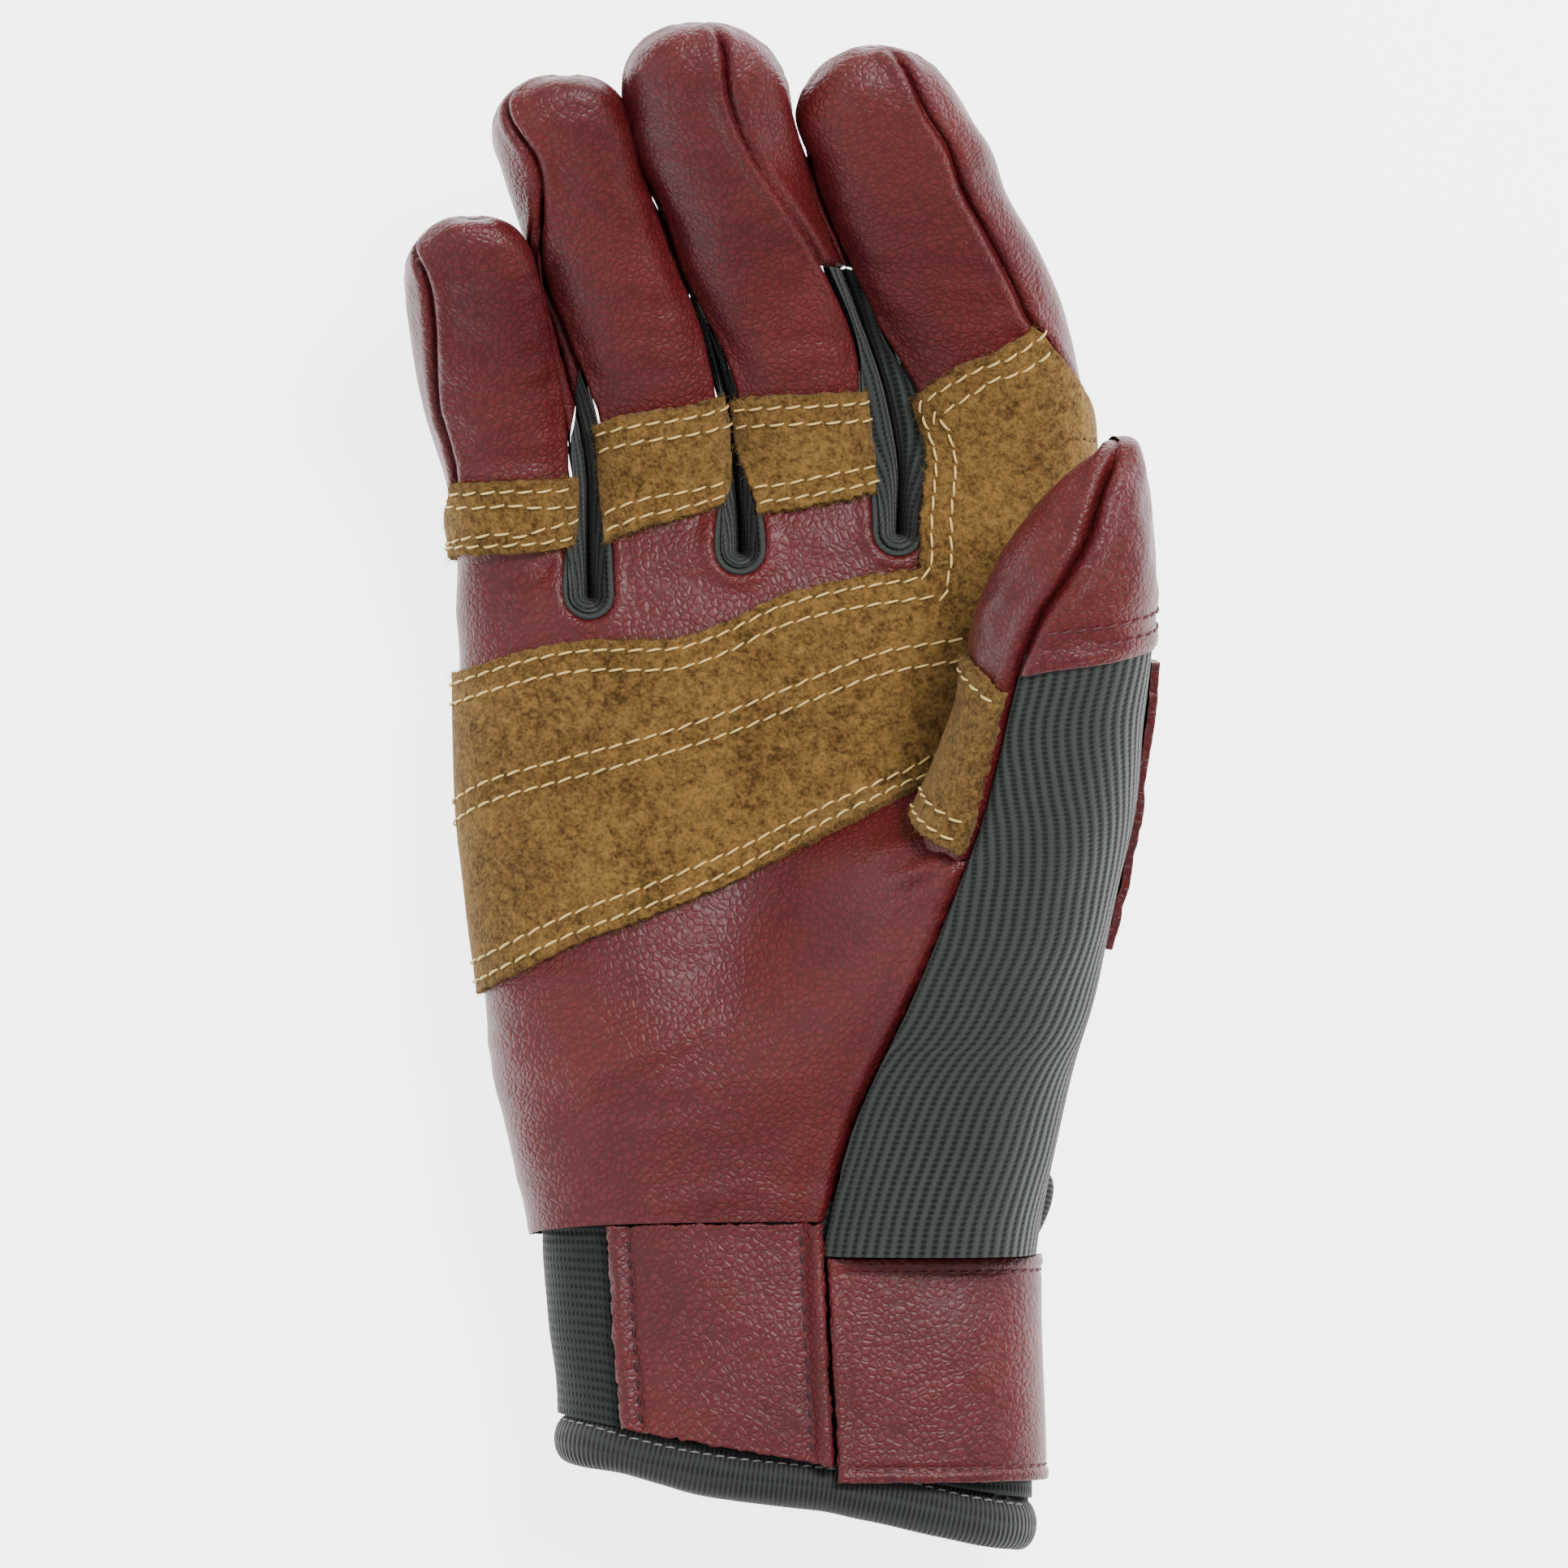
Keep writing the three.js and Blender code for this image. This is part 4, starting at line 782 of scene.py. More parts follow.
def push(share):
    """How far the cloth is pushed into the gap, by its depth below the palm: none at its two edges."""
    return 1.04 * np.sin(np.pi * np.clip(share, 0, 1)) ** 0.6


def squeezed(i, radial, s, share):
    """A finger's side wall pushed out towards the middle of the gap to the next finger, most at half
    depth, and less towards the fingertips."""
    points = wall(i, radial, s, share)
    other = wall(i + 1 if radial else i - 1, not radial, s, share)
    return mix(points, (points + other) / 2, (push(share) * (1 - ease(s, 0.66, 0.86)))[..., None])


CROTCH_BINDING = 1.2
shares = close_steps(0, 1, 26, 0.8)[None, :]
for i, name in enumerate(["forchette_little_ring", "forchette_ring_middle", "forchette_middle_index"]):
    climb = np.linspace(0, FORCHETTE_TOPS[i], 60)[:, None]
    down = squeezed(i, True, climb, shares)[::-1]
    up = squeezed(i + 1, False, climb, shares)
    turns = i + FINGER_SHARE + (1 - FINGER_SHARE) * (1 - np.cos(np.pi * np.arange(1, 12) / 12)) / 2
    front = skin(True, turns, 1.0)[:, None, :]
    back = skin(False, turns, 1.0)[:, None, :]
    turn = mix(front, back, shares[..., None])
    middle = (down[-1:] + up[:1]) / 2
    grid = np.concatenate([down, mix(turn, middle, push(shares)[..., None]), up])
    normal = normals_of(grid)
    edge = grid[22:-22, 0] + np.array([0, 0, -0.2])
    lip = roll(edge, np.broadcast_to([0.0, 0.0, 1.0], edge.shape), CROTCH_BINDING, CROTCH_BINDING, 16)
    grid = rolled(grid, normal, nearest(grid, [grid[:, 0], grid[:, -1]]), 0.2, 0.9, 0.15)
    grid[..., 2] = np.maximum(grid[..., 2], 0.1)
    grid_piece(name, "ribbed_fabric", ribbed, grid, lip)

for i, finger in enumerate(FINGERS):
    for way in ("ulnar", "radial"):
        radial = way == "radial"
        outer = (i == 0 and not radial) or (i == 3 and radial)
        low = SIDE_START if outer else FORCHETTE_TOPS[i if radial else i - 1]
        climb = np.concatenate([np.linspace(low, 0.9, 50), close_steps(0.9, 1.0, 18, 0.8)[1:]])[:, None]
        across_wall = shares if radial else shares[:, ::-1]
        grid = (wall if outer else squeezed)(i, radial, climb, across_wall)
        normal = normals_of(grid, flip=radial)
        normal[-1] = TIP_WAY
        if (normal[20, 10, 0] > 0) != radial:
            normal = -normal
        gap = nearest(grid, [grid[:, 0], grid[:, -1], grid[0]])
        grid = rolled(grid, normal, gap, 0.35, 1.3, 0.3, depth=tip_depth(climb[:, 0]))
        grid[..., 2] = np.maximum(grid[..., 2], 0.1)
        name = "side_" + finger["name"] + "_" + way
        grid_piece(name, "goat_leather", red_leather, grid)


# The thumb's leather: its palm side from the crotch up, and the cap over the tip's outer side, with
# a deep seam between them and a stitched hem at the cap's lower edge.
def tip_rows(low, count):
    """Shares along the thumb from low to its tip, close together at the rounded end."""
    return np.concatenate([np.linspace(low, 0.93, count), close_steps(0.93, 1.0, 24, 0.8)[1:]])


THUMB_FRONT_START, HEM_TUCK = 0.49, 0.012
rows = tip_rows(THUMB_FRONT_START, 120)
seam_angle = read(THUMB, "seam", rows)[:, None]
grid = thumb(mix(THUMB_BACK_SEAM, seam_angle, close_steps(0, 1, 60)[None, :]), rows[:, None])
normal = normals_of(grid)
normal[-1] = TIP_WAY
gap = nearest(grid, [grid[:, -1]])
fall = 1.6 * (1 - ease(rows, THUMB_FRONT_START, 0.56))[:, None]
height = 0.35 * noise(grid * np.array([0.5, 1, 1]), 3.2, 5) - fall
grid = rolled(grid + normal * height[..., None], normal, gap, 0.75, 2.2, 0.35, 1.9, tip_depth(rows))
grid_piece("thumb_front", "goat_leather", red_leather, grid)

HEM_RISE = 0.085


def outer_thumb(row, across):
    """Points of the thumb's outer side, from the front seam (across 0) to the back one (1); the rows
    rise outwards, most at the cap's hem."""
    full = np.where(row < THUMB_HEM, ease(row, 0.3, THUMB_HEM), 1 - ease(row, THUMB_HEM, 0.93))
    s = row + HEM_RISE * (across - 0.2) * full
    return thumb(mix(read(THUMB, "seam", s), THUMB_BACK_SEAM - 360, across), s)


rows = tip_rows(THUMB_HEM - HEM_TUCK, 80)
grid = outer_thumb(rows[:, None], close_steps(0, 1, 60)[None, :])
normal = normals_of(grid)
normal[-1] = TIP_WAY
hem = np.exp(-((rows - THUMB_HEM) * THUMB_LENGTH / 1.2) ** 2)[:, None]
height = 0.35 * noise(grid * np.array([0.5, 1, 1]), 3.2, 6) + 0.5 + 0.25 * hem
gap = nearest(grid, [grid[:, 0]])
grid = rolled(grid + normal * height[..., None], normal, gap, 0.75, 2.6, 0.35, 1.9, tip_depth(rows))
cap_grid, cap_normal = grid, normal
skirt = grid[:1] - normal[:1] * 1.2
grid_piece("thumb_cap", "goat_leather", red_leather, np.concatenate([skirt, grid]))


# The gusset: ribbed fabric from under the thumb's cap down its outer side to the wrist, in soft
# waves, with its seam to the palm's leather along the thumb's front.
rows = np.linspace(0, THUMB_HEM + HEM_TUCK, 200)
grid = outer_thumb(rows[:, None], close_steps(0, 1, 80, 0.5)[None, :])
normal = normals_of(grid)
height = 0.5 * noise(grid, 11.0, 7) * ease(nearest(grid, [grid[:, 0]]), 1, 6)
grid = rolled(grid + normal * height[..., None], normal, nearest(grid, [grid[:, 0]]), 0.35, 1.5, 0.25)
grid_piece("thumb_gusset", "ribbed_fabric", ribbed, grid)


# The suede: a large patch across the palm that climbs the index finger, bands on three fingers and
# a patch inside the thumb. It is a millimetre and a half thick, napped, with cut edges that fray, and
# is sewn down with double rows of pale yellow thread.
# The edges of the palm's patch: levels in millimetres at places across.
PALM_SUEDE_BOTTOM = {
    "at": [-51.0, -46.0, -32.6, -20.3, -8.0, 4.3, 21.5, 46.0],
    "level": [-34.5, -31.5, -24.5, -19.8, -14.6, -8.7, -0.1, 9.0],
}
PALM_SUEDE_TOP = {
    "at": [-51.0, -40.0, -30.1, -16.6, -9.2, -0.6, 9.2, 20.3, 46.0],
    "level": [16.6, 20.2, 22.0, 22.3, 24.6, 28.6, 31.2, 33.0, 36.0],
}
INDEX_SUEDE_TOP = (0.27, 0.42)
SUEDE_LIFT, SUEDE_THICK = 1.35, 1.5
BANDS = [
    (0, "band_little", (0.145, 0.150), (0.325, 0.340)),
    (1, "band_ring", (0.087, 0.113), (0.305, 0.360)),
    (2, "band_middle", (0.065, 0.078), (0.284, 0.297)),
]
ROWS_IN, BAND_ROWS_IN = (1.6, 4.6), (1.6, 4.3)
STITCH_DENT = 0.28
FIBRE_COUNT = 9000


def suede_material(name, dark, light):
    """Napped suede: a mottled colour of two scales and a fine, rough pile of short fibres."""
    material, add, calc, paint = surface_nodes(name)
    place = add("ShaderNodeTexCoord").outputs["Object"]
    tufts = add("ShaderNodeTexNoise", Vector=place, Scale=1700, Detail=3, Roughness=0.6).outputs["Fac"]
    nap = add("ShaderNodeTexNoise", Vector=place, Scale=620, Detail=4, Roughness=0.65, Distortion=0.5)
    nap = nap.outputs["Fac"]
    brushed = add("ShaderNodeTexNoise", Vector=place, Scale=60, Detail=3, Distortion=0.8).outputs["Fac"]
    tone = calc("MULTIPLY_ADD", tufts, 0.35, calc("MULTIPLY", nap, 0.45))
    tone = calc("MULTIPLY_ADD", brushed, 0.20, tone)
    bump = add("ShaderNodeBump", Strength=0.9, Distance=0.0006, Height=calc("MULTIPLY_ADD", tufts, 0.8, nap))
    paint({
        "Base Color": ramp(add, tone, [(0.40, dark), (0.60, light)]), "Normal": bump.outputs["Normal"],
        "Roughness": 0.95, "Specular IOR Level": 0.1, "Sheen Weight": 0.15, "Sheen Roughness": 0.6,
        "Sheen Tint": (0.9, 0.7, 0.4, 1),
    })
    return material


def thread_material(name, colour):
    """Twisted sewing thread: a plain colour with fine strands."""
    material, add, calc, paint = surface_nodes(name)
    place = add("ShaderNodeTexCoord").outputs["Object"]
    strands = add("ShaderNodeTexNoise", Vector=place, Scale=5000, Detail=2)
    bump = add("ShaderNodeBump", Strength=0.6, Distance=0.0001, Height=strands.outputs["Fac"])
    paint({"Normal": bump.outputs["Normal"], "Base Color": (*colour, 1), "Roughness": 0.65})
    return material


tan_suede = suede_material("tan_suede", (0.045, 0.020, 0.004), (0.215, 0.118, 0.032))
yellow_thread = thread_material("yellow_thread", (0.68, 0.48, 0.17))


def rimmed(grid, normal, thick, fray=0.3, first=1.0, last=1.0):
    """A patch of a thickness: its grid with a rounded rim and cut sides added on all four edges. The
    first and last edge take shares that say where they have a rim, for patches that run on."""
    rough = fray * noise(grid, 0.9, 11)[..., None] + 0.4 * fray * noise(grid, 0.35, 12)[..., None]
    across = np.gradient(grid, axis=1)
    along = np.gradient(grid, axis=0)
    across /= np.maximum(np.linalg.norm(across, axis=-1, keepdims=True), 1e-9)
    along /= np.maximum(np.linalg.norm(along, axis=-1, keepdims=True), 1e-9)
    grid = grid.copy()
    grid[:, 0] += (across * rough)[:, 0]
    grid[:, -1] += (across * rough)[:, -1]
    grid[0] += (along * rough)[0] * np.reshape(first, (-1, 1))
    grid[-1] += (along * rough)[-1] * np.reshape(last, (-1, 1))
    wide = np.pad(grid, ((2, 2), (2, 2), (0, 0)), mode="edge")
    facing = np.pad(normal, ((2, 2), (2, 2), (0, 0)), mode="edge")
    depth = np.zeros(wide.shape[:2])
    first, last = (np.pad(np.broadcast_to(share, grid.shape[1]), 2, mode="edge") for share in (first, last))
    depth[:, 1], depth[:, -2], depth[:, 0], depth[:, -1] = 0.3, 0.3, thick, thick
    depth[1], depth[-2] = np.maximum(depth[1], 0.3 * first), np.maximum(depth[-2], 0.3 * last)
    depth[0], depth[-1] = np.maximum(depth[0], thick * first), np.maximum(depth[-1], thick * last)
    return wide - facing * depth[..., None]


def laid_on(line, flat, facing):
    """A line moved onto a surface: along the normal of the nearest of the surface's points."""
    best = np.concatenate([
        np.argmin(((part[:, None, :] - flat[None]) ** 2).sum(-1), axis=1)
        for part in np.array_split(line, max(1, len(line) // 40))
    ])
    out = facing[best]
    return line - out * ((line - flat[best]) * out).sum(-1, keepdims=True), out


def even(line, step):
    """Points a step apart along a line, worked out from its running length."""
    length = np.concatenate([[0], np.cumsum(np.linalg.norm(np.diff(line, axis=0), axis=1))])
    at = np.arange(step / 2, length[-1], step)
    return np.stack([np.interp(at, length, line[:, k]) for k in range(3)], axis=1)


def stitches(name, lines, surfaces, material, pitch=2.7, long=2.35, thick=0.42, dips=0.25, slant=0.12):
    """Rows of stitches as bent threads: each rises out of the surface and dips in at both ends."""
    points, faces, start = [], [], 0
    flat = np.concatenate([grid.reshape(-1, 3) for grid, _ in surfaces])
    facing = np.concatenate([normal.reshape(-1, 3) for _, normal in surfaces])
    for line in lines:
        middle, out = laid_on(even(line, pitch), flat, facing)
        along = np.gradient(middle, axis=0)
        along -= out * (along * out).sum(-1, keepdims=True)
        along /= np.linalg.norm(along, axis=1, keepdims=True)
        side = np.cross(out, along)
        along = along + side * (slant + 0.08 * noise(middle, 1.3, 13))[:, None]
        t = np.linspace(-1, 1, 9)
        turn = np.linspace(0, 2 * np.pi, 7)[:-1]
        lift = dips * (1 - 1.9 * t ** 4) + 0.03
        radius = thick / 2 * (1 - 0.35 * t ** 2)
        rings = middle[:, None, None] + (long / 2 * t)[:, None, None] * along[:, None, None]
        rings = rings + (lift[:, None] + radius[:, None] * np.cos(turn))[..., None] * out[:, None, None]
        rings = rings + (radius[:, None] * np.sin(turn))[..., None] * side[:, None, None]
        count = len(middle)
        points.append(rings.reshape(-1, 3))
        ring = start + np.arange(count)[:, None, None] * 54 + np.arange(8)[:, None] * 6
        a, b = ring + np.arange(6), ring + (np.arange(6) + 1) % 6
        faces.append(np.stack([a, b, b + 6, a + 6], axis=-1).reshape(-1, 4))
        start += count * 54
    mesh_piece(name, np.concatenate(points), np.concatenate(faces), material)


def fibres(name, edges, count, material, long=1.0, seed=5):
    """Frayed fibres along cut edges: narrow bent blades that start in the edge and point anyhow."""
    random = np.random.default_rng(seed)
    line = np.concatenate([edge for edge, _ in edges])
    facing = np.concatenate([normal for _, normal in edges])
    pick = random.integers(0, len(line), count)
    root = line[pick] - facing[pick] * random.uniform(0, 1.1, (count, 1)) + random.normal(0, 0.12, (count, 3))
    way = random.normal(0, 1, (count, 3)) + facing[pick] * 0.25
    way /= np.linalg.norm(way, axis=1, keepdims=True)
    bend = random.normal(0, 0.35, (count, 3))
    size = long * random.uniform(0.3, 1.0, (count, 1))
    side = np.cross(way, random.normal(0, 1, (count, 3)))
    side /= np.linalg.norm(side, axis=1, keepdims=True)
    half = 0.035 * side
    middle = root + way * size * 0.5
    tip = root + way * size + bend * size
    low, high = [root - half, root + half], [middle + half, middle - half]
    points = np.stack([*low, *high, tip + half / 3, tip - half / 3], axis=1)
    base = np.arange(count)[:, None] * 6
    faces = np.concatenate([base + np.array([0, 1, 2, 3]), base + np.array([3, 2, 4, 5])])
    points[..., 2] = np.maximum(points[..., 2], 0.2)
    mesh_piece(name, points.reshape(-1, 3), faces, material)


def inset(grid, edge, inside):
    """The line that runs a distance inside an edge of a grid: first, last, left or right."""
    if edge in ("left", "right"):
        grid = np.swapaxes(grid, 0, 1)
    if edge in ("last", "right"):
        grid = grid[::-1]
    step = np.linalg.norm(np.diff(grid, axis=0), axis=-1)
    run = np.concatenate([np.zeros((1, grid.shape[1])), np.cumsum(step, axis=0)])
    k = np.clip((run < inside).sum(axis=0), 1, len(grid) - 1)
    each = np.arange(grid.shape[1])
    share = (inside - run[k - 1, each]) / (run[k, each] - run[k - 1, each])
    return mix(grid[k - 1, each], grid[k, each], share[:, None])


def palm_row(column, y):
    """The row of the palm's grid at a level."""
    bottom = wrist_line(hand_angle(True, column))
    return (y - bottom) / (knuckle_line(column) - bottom)


def edge_level(table, column):
    """The level of a patch's edge at a column, found from the place across that the column has there."""
    level = np.full(np.shape(column), 0.0)
    for _ in range(4):
        level = read(table, "level", hand(hand_angle(True, column), level)[..., 0])
    return level


def suede_base(column, level):
    """The leather under the palm's suede, drawn over the thumb's root as it is."""
    points = skin(True, column, np.clip(palm_row(column, level), 0, 1))
    turned = np.sin(np.radians(hand_angle(True, column))) > 0.25
    return draped(points, np.broadcast_to(turned, points.shape[:-1]))


def dented(grid, normal, lines):
    """A patch drawn in along its rows of stitches."""
    for line in lines:
        grid = grid - normal * (STITCH_DENT * np.exp(-nearest(grid, [line]) ** 2))[..., None]
    return grid


def sewn_patch(name, base, lift, seed, lines, thick):
    """A suede patch laid on the leather and sewn down. It returns its edges with their normals."""
    normal = normals_of(base)
    grid = dented(base + normal * (lift + 0.12 * noise(base, 5.0, seed))[..., None], normal, lines)
    grid_piece(name, "suede", tan_suede, rimmed(grid, normal, thick))
    stitches(name + "_stitches", lines, [(grid, normal)], yellow_thread)
    return [(grid[at], normal[at]) for at in (0, -1, np.s_[:, 0], np.s_[:, -1])]


across = np.concatenate([np.linspace(0, 3.0, 190)[:-1], np.linspace(3.0, LAST_COLUMN, 60)])
low = edge_level(PALM_SUEDE_BOTTOM, across)
high = np.minimum(edge_level(PALM_SUEDE_TOP, across), knuckle_line(across))
up = close_steps(0, 1, 110, 0.3)[:, None]
lower_base = suede_base(np.broadcast_to(across, (110, len(across))), mix(low, high, up))
lower_normal = normals_of(lower_base)
lower_grid = lower_base + lower_normal * (SUEDE_LIFT + 0.15 * noise(lower_base, 7.0, 8))[..., None]
mine = across >= 3.0 - 1e-9
top_share = np.linspace(0, 1, mine.sum())
start_row = palm_row(across[mine], high[mine])
rows = mix(start_row, 1 + mix(*INDEX_SUEDE_TOP, top_share), np.linspace(0, 1, 90)[:, None])
upper_base = skin(True, np.broadcast_to(across[mine], rows.shape), rows, 3)
upper_normal = normals_of(upper_base)
upper_normal = mix(lower_normal[-1][mine], upper_normal, ease(np.arange(90), 0, 10)[:, None, None])
upper_grid = upper_base + upper_normal * (SUEDE_LIFT + 0.15 * noise(upper_base, 7.0, 8))[..., None]
upper_grid[0] = lower_grid[-1][mine]

palm_lines = []
for inside in ROWS_IN:
    palm_lines.append(inset(lower_base, "first", inside)[:-12])
    edge = inset(lower_base, "last", inside)
    rise = inset(upper_base, "left", inside)
    over = inset(upper_base, "last", inside)
    corner = rise[rise[:, 1] > rise[0, 1] - inside + 0.5]
    edge = edge[edge[:, 0] < rise[0, 0] - 1.0]
    over = over[over[:, 0] > rise[-1, 0] + 0.5]
    palm_lines.append(np.concatenate([edge, corner[corner[:, 1] < over[0, 1] - 0.8], over]))
MIDDLE_ROW = [
    (-50.5, -3.4), (-46.2, 0.4), (-34.0, 3.8), (-21.2, 7.2),
    (-8.4, 11.2), (4.3, 16.3), (14.5, 20.4), (26.6, 22.2),
]
for shift in (0.0, -3.2):
    x, y = np.array(MIDDLE_ROW).T
    fine_x = np.linspace(x[0], x[-1], 120)
    fine_y = np.interp(fine_x, x, y) + shift
    for _ in range(40):
        fine_y[1:-1] = (fine_y[:-2] + fine_y[2:]) / 2 * 0.5 + fine_y[1:-1] * 0.5
    palm_lines.append(draped(hand(angle_across(fine_x, fine_y), fine_y), np.full(120, True)))
lower_grid = dented(lower_grid, lower_normal, palm_lines)
upper_grid = dented(upper_grid, upper_normal, palm_lines)
upper_grid[0] = lower_grid[-1][mine]
left = ~mine
left[np.argmax(mine)] = True
free_top = (~mine).astype(float)
lower_piece = rimmed(lower_grid, lower_normal, SUEDE_THICK, last=free_top)
upper_piece = rimmed(upper_grid, upper_normal, SUEDE_THICK, first=0.0)
grid_piece("palm_suede", "suede", tan_suede, lower_piece, upper_piece)
frayed = [
    (lower_grid[0], lower_normal[0]), (lower_grid[:, 0], lower_normal[:, 0]),
    (lower_grid[-1][left], lower_normal[-1][left]),
    (upper_grid[-1], upper_normal[-1]), (upper_grid[:, 0], upper_normal[:, 0]),
]
suede_surfaces = [
    (lower_grid[::2, ::2], lower_normal[::2, ::2]), (upper_grid[::2, ::2], upper_normal[::2, ::2]),
]
stitches("palm_suede_stitches", palm_lines, suede_surfaces, yellow_thread)


for finger, name, low_ends, high_ends in BANDS:
    column = np.linspace(finger, finger + FINGER_SHARE, 70)[None, :]
    share = (column - finger) / FINGER_SHARE
    up = mix(mix(*low_ends, share), mix(*high_ends, share), np.linspace(0, 1, 40)[:, None])
    base = skin(True, column, 1 + up, finger)
    lines = [inset(base, edge, inside)[1:-1] for edge in ("first", "last") for inside in BAND_ROWS_IN]
    frayed += sewn_patch(name, base, SUEDE_LIFT, 9, lines, SUEDE_THICK)

THUMB_SUEDE_LOW, THUMB_SUEDE_HIGH, THUMB_SUEDE_EDGE = (0.545, 0.500), (0.745, 0.695), 172.0
THUMB_SUEDE_LIFT, THUMB_SUEDE_THICK = 1.7, 2.2
share = np.linspace(0, 1, 60)[None, :]
s = mix(mix(*THUMB_SUEDE_LOW, share), mix(*THUMB_SUEDE_HIGH, share), np.linspace(0, 1, 70)[:, None])
base = thumb(mix(THUMB_SUEDE_EDGE, read(THUMB, "seam", s) + 3, share), s)
lines = [inset(base, edge, inside)[1:-1] for edge, inside in (("first", 1.6), ("first", 4.6), ("last", 2.0))]
frayed += sewn_patch("thumb_suede", base, THUMB_SUEDE_LIFT, 10, lines, THUMB_SUEDE_THICK)
fibres("suede_fibres", frayed, FIBRE_COUNT, tan_suede)


# The leather patch on the thumb's back, seen from above as a cut edge beside the gusset. It is
# sewn on top of the ribbed fabric, and its edge is rough.
column = np.linspace(0, 1, 40)[None, :]
base = thumb(mix(-8.0, -90.0, column), np.linspace(0.38, 0.735, 80)[:, None])
normal = normals_of(base)
grid = base + normal * (1.5 + 0.35 * noise(base, 2.5, 14))[..., None]
grid_piece("back_thumb_patch", "goat_leather", red_leather, rimmed(grid, normal, 1.3, 0.5))


# The cuff: a dark knit with fine ribs round the wrist, tucked up inside the palm's edge. Its far
# end is slanted, and it is open at a slit under the thumb.
CUFF_SLANT, CUFF_TUCK, CUFF_INSET = 13.0, 5.5, 1.9
STRAP_WIDTH, STRAP_DROP, STRAP_TAPER, STRAP_TURN = 34.0, 3.0, 9.0, -120.0
BINDING_WIDTH, BINDING_DEPTH = 7.5, 5.0
PANEL_LIFT, STRAP_LIFT, LOOP_LIFT = 1.6, 2.4, 1.6
PANEL_THICK, STRAP_THICK, LOOP_THICK = 1.6, 2.2, 1.4
STRAP_ROW_IN = 2.1
SLIT_FROM, SLIT_TO = -2.0, -29.0
SLIT_BINDING_WIDTH, SLIT_BINDING_DEPTH = 2.8, 3.4


def on_cuff(angle, y, out=0.0):
    """Points of the cuff, which lies inside the hand's own section by a small inset."""
    return hand(angle, y, out - CUFF_INSET)


def cuff_end(angle):
    """The cuff's far end, which runs further down on the thumb's side."""
    towards = (1 + bent_power(np.cos(np.radians(angle)))) / 2
    return WRIST_LEVEL - CUFF_LENGTH + CUFF_SLANT * (1 - towards)


def on_wrist(angles, start, end, rows, out):
    """A grid round the wrist between two levels, each given for every angle."""
    return on_cuff(angles[None, :], mix(start[None, :], end[None, :], rows[:, None]), out)


knit_fabric = rib_material("knit_fabric", 1.6, False, (0.004, 0.005, 0.005), (0.017, 0.022, 0.020), 0.8)
angles = np.linspace(SLIT_FROM, SLIT_TO + 360, 300)[::-1]
hem = cuff_end(angles) + BINDING_WIDTH / 2 + SEAM_GAP
grid = on_wrist(angles, hem, np.full(300, WRIST_LEVEL + CUFF_TUCK), np.linspace(0, 1, 60), 0.0)
normal = normals_of(grid)
grid = grid + normal * (0.35 * noise(grid, 9.0, 15) - 0.1)[..., None]
grid[..., 2] = np.maximum(grid[..., 2], 0.4)
grid_piece("cuff_knit", "ribbed_fabric", knit_fabric, grid)


# The cuff's leather panel: a turned edge is sewn down on its left, and a raised seam stands on its
# right, with a row of dark stitches beside each.
maroon_thread = thread_material("maroon_thread", (0.085, 0.016, 0.022))
PANEL_EDGES = np.array([-0.272, 0.062]) * PALM_WIDTH
panel_angles = np.linspace(*angle_across(PANEL_EDGES, np.full(2, WRIST_LEVEL)), 90)
hem = cuff_end(panel_angles) + BINDING_WIDTH / 2 + SEAM_GAP
top = wrist_line(panel_angles) - SEAM_GAP
rows = np.linspace(0, 1, 110)
grid = on_wrist(panel_angles, hem, top, rows, PANEL_LIFT)
normal = normals_of(grid)
left_gap = nearest(grid, [grid[:, 0]])
right_gap = nearest(grid, [grid[:, -1]])
height = 0.5 * np.exp(-((left_gap - 1.2) / 1.1) ** 2) - 0.35 * np.exp(-((left_gap - 3.2) / 0.7) ** 2)
height += 1.3 * np.exp(-((right_gap - 1.0) / 1.3) ** 2) - 0.5 * np.exp(-((right_gap - 3.4) / 0.8) ** 2)
height += 0.25 * noise(grid * np.array([1, 0.6, 1]), 3.0, 16) * np.exp(-np.minimum(left_gap, right_gap) / 4)
height += 0.35 * noise(grid, 12.0, 17)
panel = grid + normal * height[..., None]
grid_piece("cuff_panel", "goat_leather", red_leather, rimmed(panel, normal, PANEL_THICK, 0.35))
panel_lines = [panel[3:-3, np.argmin(np.abs(gap[50] - 3.2))] for gap in (left_gap, right_gap)]
black_thread = thread_material("black_thread", (0.02, 0.008, 0.01))
stitches("cuff_panel_stitches", panel_lines, [(panel, normal)], black_thread,
         2.6, 1.7, 0.35, 0.1)


# The leather strap round the wrist: it is top-stitched along its edges, narrows towards its end on
# the back, and lies there on the patch that it closes on.
def strap_narrows(angle):
    """How much the strap has narrowed towards its end on the back."""
    return STRAP_TAPER * ease(-angle, 20, -STRAP_TURN)


strap_angles = np.concatenate([
    np.linspace(panel_angles[-1] - 0.5, 5, 90)[:-1],
    np.linspace(5, -40, 50)[:-1],
    np.linspace(-40, STRAP_TURN, 60),
])
low = WRIST_LEVEL - STRAP_DROP - STRAP_WIDTH + strap_narrows(strap_angles)
high = np.full(len(strap_angles), WRIST_LEVEL - STRAP_DROP)
grid = on_wrist(strap_angles, low, high, np.linspace(0, 1, 110), STRAP_LIFT)
normal = normals_of(grid)
edge_gap = nearest(grid, [grid[0], grid[-1], grid[:, 0]])
height = 0.25 * np.exp(-((edge_gap - 1.0) / 0.8) ** 2) - 0.3 * np.exp(-((edge_gap - 2.1) / 0.5) ** 2)
height += 0.4 * noise(grid, 14.0, 18) + 0.15 * noise(grid, 3.5, 19) * np.exp(-edge_gap / 3)
